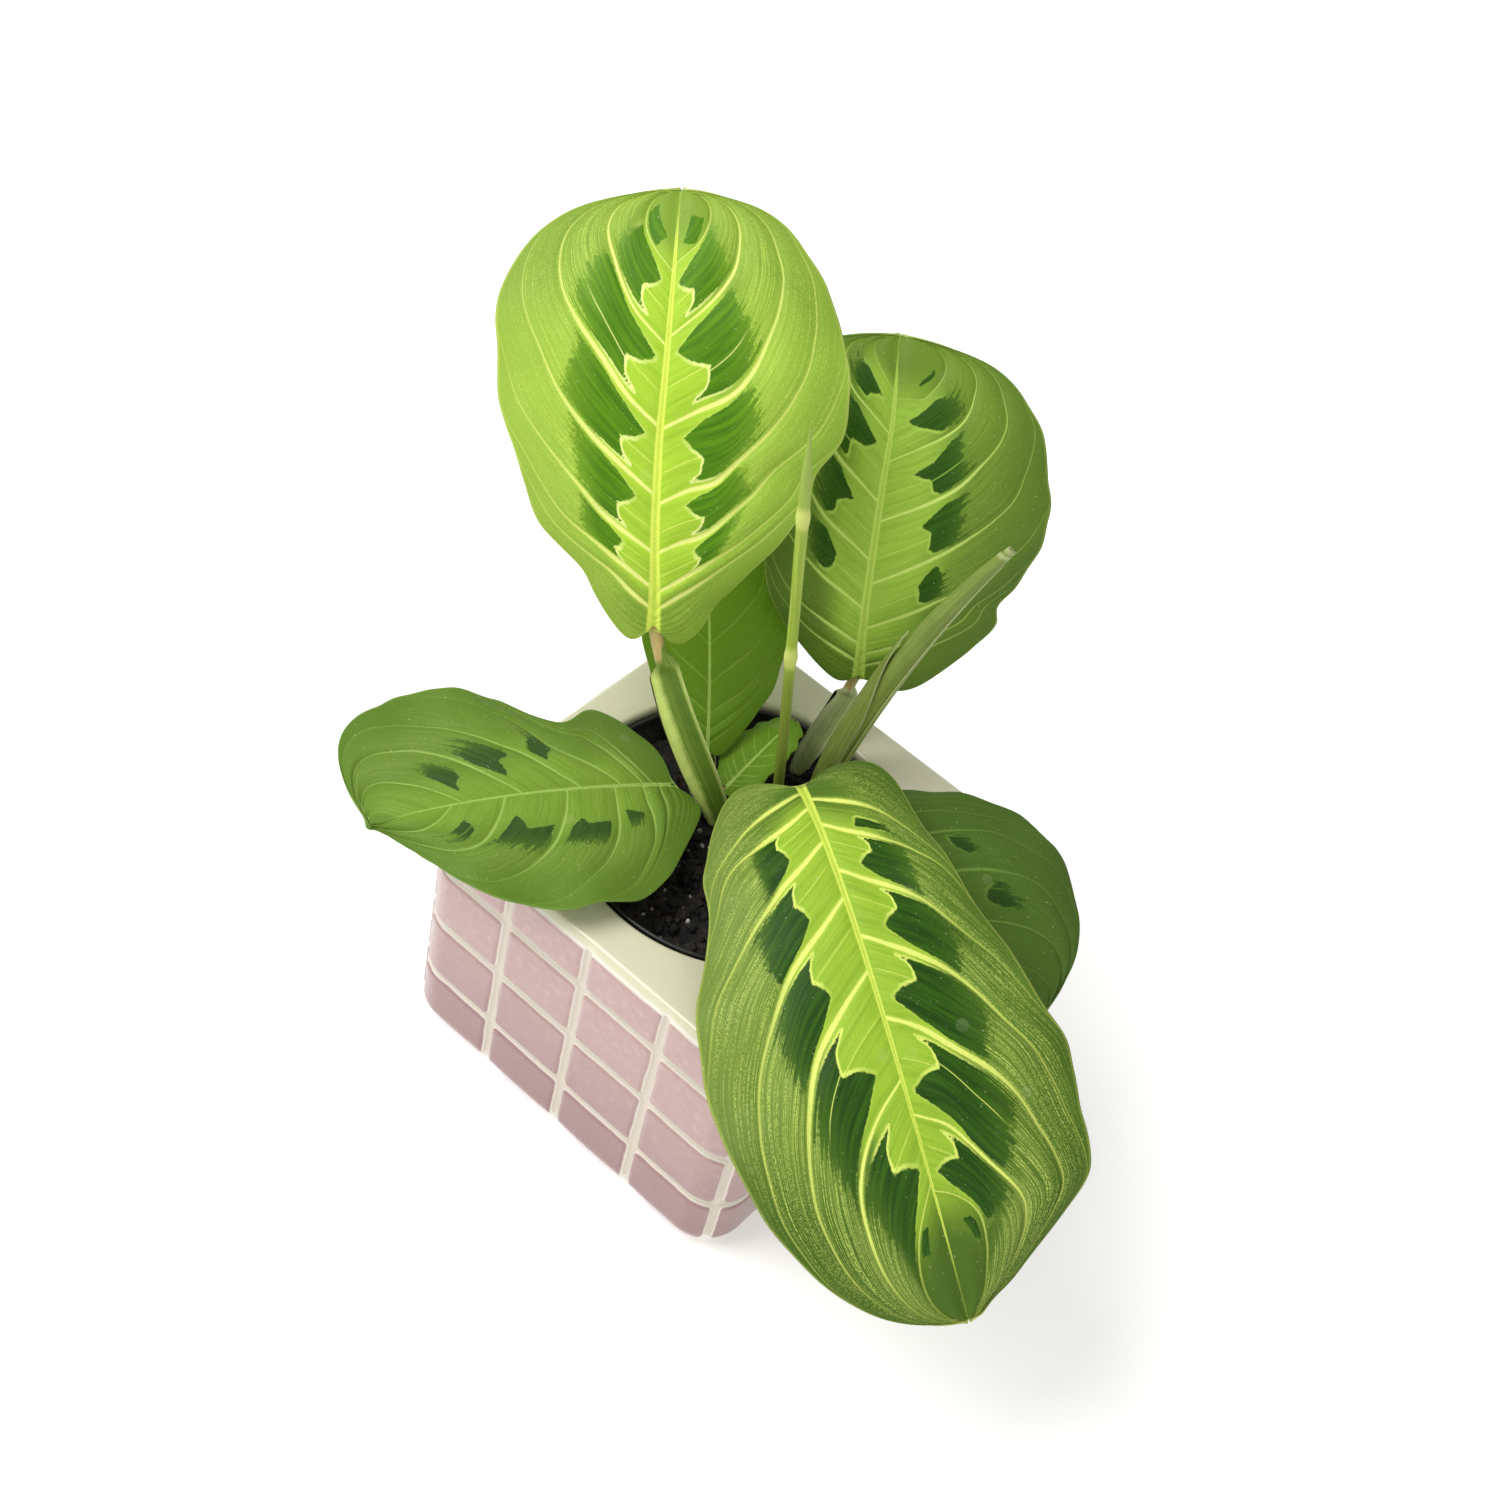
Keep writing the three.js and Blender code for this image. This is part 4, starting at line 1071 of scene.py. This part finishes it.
def spike_point(share, turn):
    """The thin spike: a slim stalk with two swollen joints and a tightly rolled blade above."""
    above, depth = above_soil(share, SPIKE_BURIED)
    swelling = sum(0.3 * exp(-((above - at) / spread) ** 2) for at, spread in SPIKE.joints)
    roll = 1 + 0.2 * smooth(above, 0.82, 0.88) * ((turn + 0.6 * above) % 1 - 0.5)
    size = (1 + swelling / through(SPIKE.radii, above)) * roll
    return stem_surface(SPIKE, above, depth, size, 2 * pi * turn)


def spike_finish():
    finish = Finish("spike_skin")
    turn, share = finish.uv("skin")
    stripes = finish.noise(2.5, 2, at=finish.vector(turn * 9, share * 3, 0))
    cloud = finish.noise(260, 3)
    joint = abs(share - 0.525).step(0.035, 0.012).most(abs(share - 0.83).step(0.03, 0.01))
    colour = finish.layers("8FA634", [
        (stripes.step(0.35, 0.65), "A3BA40"), (share.step(0.84, 0.9), "93AC40"),
        (share.step(0.54, 0.44) * 0.8, "7C8A34"), (joint * 0.8, "D2DA74")])
    normal = finish.bump(stripes + cloud * 0.4, 0.0002, 0.6)
    return finish.wear(Base_Color=colour, Roughness=cloud * 0.1 + 0.4, Normal=normal)


def scroll_sheet(bm, columns, rows, first, place):
    """Adds one thin sheet to the thick new leaf; its chart runs across from first to first + 1."""
    chart = bm.loops.layers.uv["skin"]
    corners = bmesh.ops.create_grid(bm, x_segments=columns, y_segments=rows, size=0.5)["verts"]
    for face in {face for vertex in corners for face in vertex.link_faces}:
        for loop in face.loops:
            loop[chart].uv = (first + loop.vert.co.x + 0.5, loop.vert.co.y + 0.5)
    for vertex in corners:
        above, depth = above_soil(vertex.co.y + 0.5, SCROLL_BURIED)
        above, angle, size = place(vertex.co.x + 0.5, above)
        vertex.co = stem_surface(SCROLL, above, depth, size, angle) * MM


def scroll_mesh():
    """The thick new leaf: one sheet rolled up on itself, with a sheath round its lower half."""
    def roll(wrap, above):
        above = above * (1 - 0.05 * smooth(above, 0.5, 1) * (1 - wrap) ** 2)
        return above, 2 * pi * ROLL_TURNS * wrap + 2.1 + 0.7 * above, 1 - 0.24 * wrap

    def sheath(wrap, above):
        above = above * SHEATH_SHARE
        half = 1.5 * (1 - smooth(above, 0.3, SHEATH_SHARE) ** 1.2) + 0.05
        return above, 0.35 + half * (2 * wrap - 1), 1.12 + 0.22 * smooth(above, 0.4, SHEATH_SHARE)

    bm = bmesh.new()
    bm.loops.layers.uv.new("skin")
    scroll_sheet(bm, 120, 120, 0, roll)
    scroll_sheet(bm, 24, 80, SHEATH_CHART, sheath)
    bmesh.ops.recalc_face_normals(bm, faces=bm.faces)
    return bm


def scroll_finish():
    finish = Finish("scroll_skin", Specular_IOR_Level=0.3)
    wrap, share = finish.uv("skin")
    stripes = finish.noise(1.5, 3, at=finish.vector(wrap * 44, share * 2.2, 0))
    cloud = finish.noise(240, 3)
    border = abs(wrap - SHEATH_CHART - 0.5).step(0.42, 0.5).most(share.step(0.9, 0.99))
    sheath = finish.layers("7C8E36", [(stripes.step(0.4, 0.65), "98A858"), (border * 0.6, "C2CA96")])
    colour = finish.layers("879C36", [
        ((share + cloud * 0.2).step(0.15, 0.8), "75883C"), (stripes.step(0.4, 0.7) * 0.4, "9BAC50"),
        (wrap.step(0.014, 0.004) * 0.8, "B9C47C"), (share.step(0.982, 0.994) * 0.6, "B4C084"),
        (wrap.above(SHEATH_CHART - 0.5), sheath)])
    colour = finish.mottle(colour, cloud * 0.4 + 0.78)
    normal = finish.bump(stripes + cloud * 0.3, 0.0004, 0.8)
    return finish.wear(Base_Color=colour, Roughness=cloud * 0.12 + 0.42, Normal=normal)


class PLANT_OT_rolled_leaves(bpy.types.Operator):
    """Adds the two rolled new leaves"""
    bl_idname = "plant.rolled_leaves"
    bl_label = "Rolled Leaves"

    def execute(self, context):
        spike = rolled_skin(*SPIKE_GRID, spike_point)
        add_piece("rolled_leaf_spike", spike, [spike_finish()], ["rolled_leaf_1"])
        scroll = add_piece(
            "rolled_leaf_scroll", scroll_mesh(), [scroll_finish()], ["rolled_leaf_2"])
        thicken(scroll, 0.35 * MM)
        return {"FINISHED"}


# Planter
PLANTER_AROUND = 600
WALL_STEPS = 92


def side_point(distance, inset):
    """A point at a distance along the side that faces -Y, on an outline moved in by inset."""
    reach = abs(distance)
    radius = CORNER_RADIUS - inset
    turn = max(reach - FLAT_HALF, 0) / CORNER_RADIUS
    x = min(reach, FLAT_HALF) + radius * sin(turn)
    return Vector((copysign(x, distance), -FLAT_HALF - radius * cos(turn), 0))


def groove_distance(distance, height):
    """How far a point of the wall is from the middle of the nearest groove; tiles have soft corners."""
    column = abs((abs(distance) + TILE_PITCH / 2) % TILE_PITCH - TILE_PITCH / 2)
    if abs(distance) > 1.5 * TILE_PITCH:
        column = SIDE_HALF - abs(distance)
    row = min(abs(height - line) for line in GROUT_LINES)
    if column < TILE_CORNER and row < TILE_CORNER:
        return TILE_CORNER - hypot(TILE_CORNER - column, TILE_CORNER - row)
    return min(column, row)


def wall_relief(distance, height):
    """0 in a groove and 1 on a tile's face."""
    style = settings("planter")
    wander = 0.2 * noise.noise(Vector((distance / 7, height / 7, 4))) * smooth(height, 5, 16)
    edge = groove_distance(distance, height) + wander
    face = smooth(edge, style.groove_half / MM, (style.groove_half + style.shoulder) / MM)
    pillow = 0.12 * smooth(edge, 1.5, 9)
    top = 1 - 0.8 * smooth(height + wander, TOP_TILE_EDGE - 1.3, TOP_TILE_EDGE)
    return (0.88 * face + pillow) * top


def planter_profile():
    """Stations from the middle of the base to the middle of the inner floor: height, inset from
    the wall's face, how square the ring is, how far it is drawn to the middle, and the relief."""
    stations = [(0, BASE_ROUNDING, 1, share, 0) for share in (0.02, 0.3, 0.6, 0.85, 0.97)]
    for step in range(10):
        angle = step / 9 * pi / 2
        height = BASE_ROUNDING * (1 - cos(angle))
        stations.append((height, BASE_ROUNDING * (1 - sin(angle)), 1, 1, sin(angle)))
    for step in range(1, WALL_STEPS + 1):
        height = BASE_ROUNDING + (PLANTER_HEIGHT - TOP_ROUNDING - BASE_ROUNDING) * step / WALL_STEPS
        stations.append((height, 0, 1, 1, 1))
    for step in range(1, 6):
        angle = step / 5 * pi / 2
        height = PLANTER_HEIGHT - TOP_ROUNDING * (1 - sin(angle))
        stations.append((height, TOP_ROUNDING * (1 - cos(angle)), 1, 1, 0))
    for share in (0.3, 0.65, 1):
        stations.append((PLANTER_HEIGHT, TOP_ROUNDING, 1 - share, 1, 0))
    for step in range(1, 5):
        angle = step / 4 * pi / 2
        height = PLANTER_HEIGHT - OPENING_BEVEL * (1 - cos(angle))
        stations.append((height, -OPENING_BEVEL * sin(angle), 0, 1, 0))
    cavity = [
        (PLANTER_HEIGHT - WALL, -OPENING_BEVEL, 0, 1, 0),
        (PLANTER_HEIGHT - WALL - CAVITY_SLOPE, WALL, 1, 1, 0),
        (FLOOR + CAVITY_SLOPE, WALL, 1, 1, 0), (FLOOR, WALL + CAVITY_SLOPE, 1, 1, 0),
        (FLOOR, WALL + CAVITY_SLOPE, 1, 0.02, 0)]
    return stations + cavity


def planter_point(station, around):
    """A point of the planter and its tile share, at a place round it from 0 to 4 sides."""
    height, inset, square, drawn_in, tiles = station
    style = settings("planter")
    side = int(around) % 4
    distance = (around - int(around) - 0.5) * 2 * SIDE_HALF
    tile = tiles and wall_relief(distance, height) * tiles
    depth = inset + style.relief / MM * (1 - tile)
    flat = side_point(distance, depth)
    if square < 1:
        outward = Vector((flat.x, flat.y, 0)).normalized()
        ring = outward * (OPENING_RADIUS + (OPENING_BEVEL + inset if inset < 0 else OPENING_BEVEL))
        flat = ring.lerp(flat, square)
    flat = Matrix.Rotation(side * pi / 2, 3, "Z") @ flat
    return Vector((flat.x * drawn_in, flat.y * drawn_in, height)), tile


def planter_mesh():
    """The planter's closed skin, with its tile and top glaze shares on the vertices."""
    stations = planter_profile()
    bm = bmesh.new()
    bmesh.ops.create_grid(bm, x_segments=PLANTER_AROUND, y_segments=len(stations) - 1, size=0.5)
    tile_layer = bm.verts.layers.float.new("tile")
    deck_layer = bm.verts.layers.float.new("deck")
    for vertex in bm.verts:
        row = round((vertex.co.y + 0.5) * (len(stations) - 1))
        column = round((vertex.co.x + 0.5) * PLANTER_AROUND) % PLANTER_AROUND
        place, tile = planter_point(stations[row], 4 * column / PLANTER_AROUND)
        vertex[tile_layer] = tile
        height, _, _, _, tiles = stations[row]
        on_top = height > PLANTER_HEIGHT - TOP_ROUNDING or (row > len(stations) // 2 and not tiles)
        vertex[deck_layer] = 1.0 if on_top else smooth(height, TOP_TILE_EDGE - 1.2, TOP_TILE_EDGE + 0.2)
        vertex.co = place * MM
    close_skin(bm, GAP)
    return bm


def planter_finish():
    """Glossy glaze: dusty pink on the tiles, darker towards the bottom as painted shade, thin and pale on
    their edges with a painted highlight, cream elsewhere with a painted highlight round the top's edge.
    """
    style = settings("planter")
    finish = Finish("tile_glaze", Coat_Weight=0.5, Coat_Roughness=0.12)
    tile, deck = finish.number("tile"), finish.number("deck")
    height = finish.parts(finish.place)[2]
    cloud = finish.noise(55, 3)
    speck = finish.noise(420, 3)
    ragged = finish.noise(260, 3) - 0.5
    # painted shade: the pink darkens towards the bottom of the planter
    pink = finish.layers((*style.tile, 1), [
        (cloud.step(0.3, 0.7) * 0.5, "B28C8B"), (speck.step(0.45, 0.75) * 0.25, "DDBFB6"),
        (height.step(0.06, 0) * 0.9, "8A6262")])
    colour = finish.layers((*style.groove, 1), [
        ((tile + ragged * 0.25).step(0.42, 0.68), pink),
        # the pale line on the tiles' edges is thin glaze with a painted highlight
        (abs(tile + ragged * 0.2 - 0.42).step(0.2, 0.05) * 0.55, "EFE6DA"), (deck, (*style.deck, 1)),
        # painted highlight: a pale line along the rounded edge where the tiles meet the top
        (abs(deck - 0.5 + ragged * 0.3).step(0.45, 0.1) * 0.6, "F4EFE2")])
    normal = finish.bump(cloud * 0.6 + speck * 0.12, 0.0006, 0.35)
    return finish.wear(Base_Color=colour, Roughness=cloud * 0.12 + 0.2, Normal=normal)


class PLANT_OT_planter(bpy.types.Operator):
    """Adds the square glazed planter with its raised tiles"""
    bl_idname = "plant.planter"
    bl_label = "Planter"

    def execute(self, context):
        add_piece("planter_glazed", planter_mesh(), [planter_finish()], ["planter"])
        return {"FINISHED"}


# Grower's pot and soil
def pot_radius(height):
    share = (height - POT_FOOT) / (POT_SHOULDER - POT_FOOT)
    return POT_FOOT_RADIUS + (POT_TOP_RADIUS - POT_FOOT_RADIUS) * share


def spin_outline(outline, steps):
    """Turns an outline of (radius, height) pairs, in millimetres, once round the upright axis."""
    bm = bmesh.new()
    corners = [bm.verts.new((radius * MM, 0, height * MM)) for radius, height in outline]
    edges = [bm.edges.new(pair) for pair in zip(corners, corners[1:])]
    bmesh.ops.spin(
        bm, geom=corners + edges, cent=(0, 0, 0), axis=(0, 0, 1), angle=2 * pi, steps=steps,
        use_merge=True, use_duplicate=False)
    close_skin(bm, GAP)
    return bm


def pot_outline():
    inside = POT_RIM_RADIUS - POT_WALL
    outline = [
        (0, POT_FOOT), (pot_radius(POT_FOOT) - 0.6, POT_FOOT), (pot_radius(POT_FOOT), POT_FOOT + 0.6),
        (POT_TOP_RADIUS, POT_SHOULDER), (POT_RIM_RADIUS - 0.3, POT_SHOULDER + 0.5),
        (POT_RIM_RADIUS, POT_SHOULDER + 0.9)]
    middle = (POT_RIM_RADIUS + inside) / 2
    lip = (POT_RIM_RADIUS - inside) / 2
    for step in range(9):
        angle = step / 8 * pi
        outline.append((middle + lip * cos(angle), POT_RIM_TOP - lip + lip * sin(angle)))
    return outline + [
        (inside - 0.2, POT_SHOULDER + POT_WALL + 1), (pot_radius(POT_SHOULDER) - POT_WALL, POT_SHOULDER),
        (pot_radius(POT_FOOT) - POT_WALL, POT_FOOT + POT_WALL), (0, POT_FOOT + POT_WALL)]


def drill_holes(piece):
    """Cuts the four drain holes through the pot's floor."""
    bm = bmesh.new()
    for index in range(DRAIN_HOLES):
        angle = (index + 0.5) * 2 * pi / DRAIN_HOLES
        place = Vector((DRAIN_CIRCLE * cos(angle), DRAIN_CIRCLE * sin(angle), POT_FOOT)) * MM
        bmesh.ops.create_cone(
            bm, cap_ends=True, segments=32, radius1=DRAIN_RADIUS * MM, radius2=DRAIN_RADIUS * MM,
            depth=DRAIN_CUT * MM, matrix=Matrix.Translation(place))
    bits = add_object("drain_bits", bm)
    cut = piece.modifiers.new("drains", "BOOLEAN")
    cut.object = bits
    cut.solver = "EXACT"
    graph = bpy.context.evaluated_depsgraph_get()
    drilled = bpy.data.meshes.new_from_object(piece.evaluated_get(graph))
    piece.modifiers.clear()
    piece.data = drilled
    bpy.data.objects.remove(bits)


def pot_finish():
    finish = Finish("pot_plastic")
    dust = finish.noise(120, 4).step(0.55, 0.8)
    colour = finish.mix(dust * 0.5, "1B1B1A", "3A3733")
    normal = finish.bump(finish.noise(900, 3), 0.0001, 0.5)
    return finish.wear(Base_Color=colour, Roughness=dust * 0.25 + 0.38, Normal=normal)


class PLANT_OT_pot(bpy.types.Operator):
    """Adds the black grower's pot"""
    bl_idname = "plant.pot"
    bl_label = "Grower's Pot"

    def execute(self, context):
        bm = spin_outline(pot_outline(), 128)
        piece = add_piece("grower_pot", bm, [pot_finish()], ["nursery_pot"])
        drill_holes(piece)
        return {"FINISHED"}


def soil_radius(height):
    return pot_radius(height) - POT_WALL - SOIL_GAP


def soil_height(place):
    """Height of the soil's lumps at a place, in millimetres."""
    waves = sin(0.61 * place.x + 1.3) * cos(0.53 * place.y) + 0.5 * sin(0.9 * place.y - 0.7 * place.x)
    lumps = ((0.9, 5), (0.55, 2.1), (0.3, 0.9))
    return 0.42 * waves + sum(height * noise.noise(place / size) for height, size in lumps)


def soil_mesh():
    bottom = POT_FOOT + POT_WALL + 0.3
    edge = soil_radius(SOIL_TOP)
    outline = [(0, bottom), (soil_radius(bottom), bottom), (edge, SOIL_TOP - 1.5)]
    outline += [(edge * (1 - step / SOIL_RINGS), SOIL_TOP - SOIL_SINK) for step in range(SOIL_RINGS + 1)]
    bm = spin_outline(outline, 220)
    for vertex in bm.verts:
        place = vertex.co / MM
        if place.z > SOIL_TOP - 1:
            vertex.co.z += soil_height(Vector((place.x, place.y, 0))) * MM
    return bm


def scatter(bm, count, sizes, rng, material):
    """Adds seeded lumps over the soil."""
    edge = soil_radius(SOIL_TOP) - 1
    for _ in range(count):
        radius = edge * sqrt(rng.random())
        angle = rng.uniform(0, 2 * pi)
        place = Vector((radius * cos(angle), radius * sin(angle), 0))
        size = rng.uniform(*sizes)
        place.z = SOIL_TOP - SOIL_SINK + soil_height(place) + size * 0.1
        turned = rng.uniform(0, 6.3)
        axis = Vector((rng.random(), rng.random(), rng.random() + 0.1))
        shape = Matrix.Diagonal((size, size * rng.uniform(0.6, 1), size * rng.uniform(0.4, 1), 1))
        lump = bmesh.ops.create_icosphere(
            bm, subdivisions=1, radius=MM,
            matrix=Matrix.Translation(place * MM) @ Matrix.Rotation(turned, 4, axis) @ shape)
        for vertex in lump["verts"]:
            vertex.co += (vertex.co - place * MM) * noise.noise(vertex.co * 700) * 0.7
        for face in {face for vertex in lump["verts"] for face in vertex.link_faces}:
            face.material_index = material


def soil_finish():
    finish = Finish("potting_soil")
    lumps = finish.noise(500, 6, 0.7)
    colour = finish.layers("0D0A08", [
        (lumps.step(0.35, 0.7), (*settings("soil").soil, 1)),
        (finish.noise(330, 2).step(0.52, 0.62) * 0.8, "3A2C24")])
    normal = finish.bump(lumps, 0.0014, 1)
    return finish.wear(Base_Color=colour, Roughness=lumps * 0.5 + 0.2, Normal=normal)


def perlite_finish():
    finish = Finish("perlite")
    pits = finish.noise(1200, 4, 0.6)
    colour = finish.layers("8C8378", [
        (pits.step(0.35, 0.6), (*settings("soil").perlite, 1)),
        (finish.noise(160, 1).step(0.4, 0.6) * 0.7, "7A6A58")])
    normal = finish.bump(pits, 0.0005, 0.8)
    return finish.wear(Base_Color=colour, Roughness=pits * 0.1 + 0.8, Normal=normal)


class PLANT_OT_soil(bpy.types.Operator):
    """Adds the potting soil with its crumbs and white grains"""
    bl_idname = "plant.soil"
    bl_label = "Potting Soil"

    def execute(self, context):
        style = context.scene.plant_soil
        rng = random.Random(SOIL_SEED)
        bm = soil_mesh()
        scatter(bm, style.crumbs, (0.5, 2.1), rng, 0)
        scatter(bm, style.grains, (0.2, 0.75), rng, 1)
        add_piece("soil_crumbly", bm, [soil_finish(), perlite_finish()], ["soil"])
        return {"FINISHED"}


# Stage
def floor_finish():
    finish = Finish("studio_floor", Roughness=0.9, Emission_Color=(1, 1, 1, 1), Emission_Strength=0.3)
    colour = finish.mix(finish.noise(3, 2) * 0.02, (*settings("stage").floor, 1), "EDEDEC")
    return finish.wear(Base_Color=colour)


def add_light(name, place, size, power):
    light = bpy.data.lights.new(name, "AREA")
    light.shape = "DISK"
    light.size = size
    light.energy = power
    lamp = bpy.data.objects.new(name, light)
    lamp.location = place
    lamp.rotation_euler = (Vector(place) - Vector(LIGHT_AIM)).to_track_quat("Z", "Y").to_euler()
    bpy.context.scene.collection.objects.link(lamp)


def add_camera():
    azimuth, elevation, roll = (radians(angle) for angle in (VIEW_AZIMUTH, VIEW_ELEVATION, VIEW_ROLL))
    back = Vector((
        sin(azimuth) * cos(elevation), -cos(azimuth) * cos(elevation), sin(elevation)))
    level = Vector((cos(azimuth), sin(azimuth), 0))
    upright = back.cross(level)
    right = level * cos(roll) + upright * sin(roll)
    above = upright * cos(roll) - level * sin(roll)
    camera = bpy.data.objects.new("camera", bpy.data.cameras.new("camera"))
    camera.data.sensor_width = SENSOR
    camera.data.lens = VIEW_LENS
    camera.data.clip_end = 50
    turn = Matrix((right, above, back)).transposed().to_4x4()
    camera.matrix_world = Matrix.Translation(Vector(VIEW_PLACE) * MM) @ turn
    bpy.context.scene.collection.objects.link(camera)
    bpy.context.scene.camera = camera


class PLANT_OT_stage(bpy.types.Operator):
    """Adds the pale floor, the soft lights and the camera"""
    bl_idname = "plant.stage"
    bl_label = "Stage"

    def execute(self, context):
        style = context.scene.plant_stage
        bm = bmesh.new()
        bmesh.ops.create_grid(bm, x_segments=2, y_segments=2, size=FLOOR_REACH)
        floor = add_object("floor", bm)
        floor.data.materials.append(floor_finish())
        add_light("key", (-0.6, -0.45, 1.15), 1.0, style.key)
        add_light("fill", (0.9, -0.5, 0.7), 0.8, style.fill)
        world = bpy.data.worlds.new("sky")
        world.use_nodes = True
        sky = world.node_tree.nodes["Background"]
        sky.inputs["Color"].default_value = (1, 1, 1, 1)
        sky.inputs["Strength"].default_value = style.sky
        context.scene.world = world
        context.scene.view_settings.view_transform = "Standard"
        add_camera()
        return {"FINISHED"}


class PLANT_PT_parts(bpy.types.Panel):
    """Lists the pieces and their settings"""
    bl_label = "Potted Prayer Plant"
    bl_idname = "PLANT_PT_parts"
    bl_space_type = "VIEW_3D"
    bl_region_type = "UI"
    bl_category = "Plant"

    def draw(self, context):
        for group in GROUPS:
            chosen = getattr(context.scene, "plant_" + group)
            for key in chosen.bl_rna.properties.keys():
                if key not in ("rna_type", "name"):
                    self.layout.prop(chosen, key)
        for operator in OPERATORS:
            self.layout.operator(operator.bl_idname)


GROUPS = {"planter": PlanterSettings, "soil": SoilSettings, "leaf": LeafSettings, "stage": StageSettings}
OPERATORS = (
    PLANT_OT_planter, PLANT_OT_pot, PLANT_OT_soil, PLANT_OT_blades, PLANT_OT_stalks,
    PLANT_OT_rolled_leaves, PLANT_OT_stage)


def register():
    for name, group in GROUPS.items():
        bpy.utils.register_class(group)
        setattr(bpy.types.Scene, "plant_" + name, PointerProperty(type=group))
    for chosen in (*OPERATORS, PLANT_PT_parts):
        bpy.utils.register_class(chosen)


def unregister():
    for chosen in reversed((*OPERATORS, PLANT_PT_parts)):
        bpy.utils.unregister_class(chosen)
    for name, group in GROUPS.items():
        delattr(bpy.types.Scene, "plant_" + name)
        bpy.utils.unregister_class(group)


def main():
    register()
    bpy.ops.plant.planter()
    bpy.ops.plant.pot()
    bpy.ops.plant.soil()
    bpy.ops.plant.blades()
    bpy.ops.plant.stalks()
    bpy.ops.plant.rolled_leaves()
    bpy.ops.plant.stage()


if __name__ == "__main__":
    main()
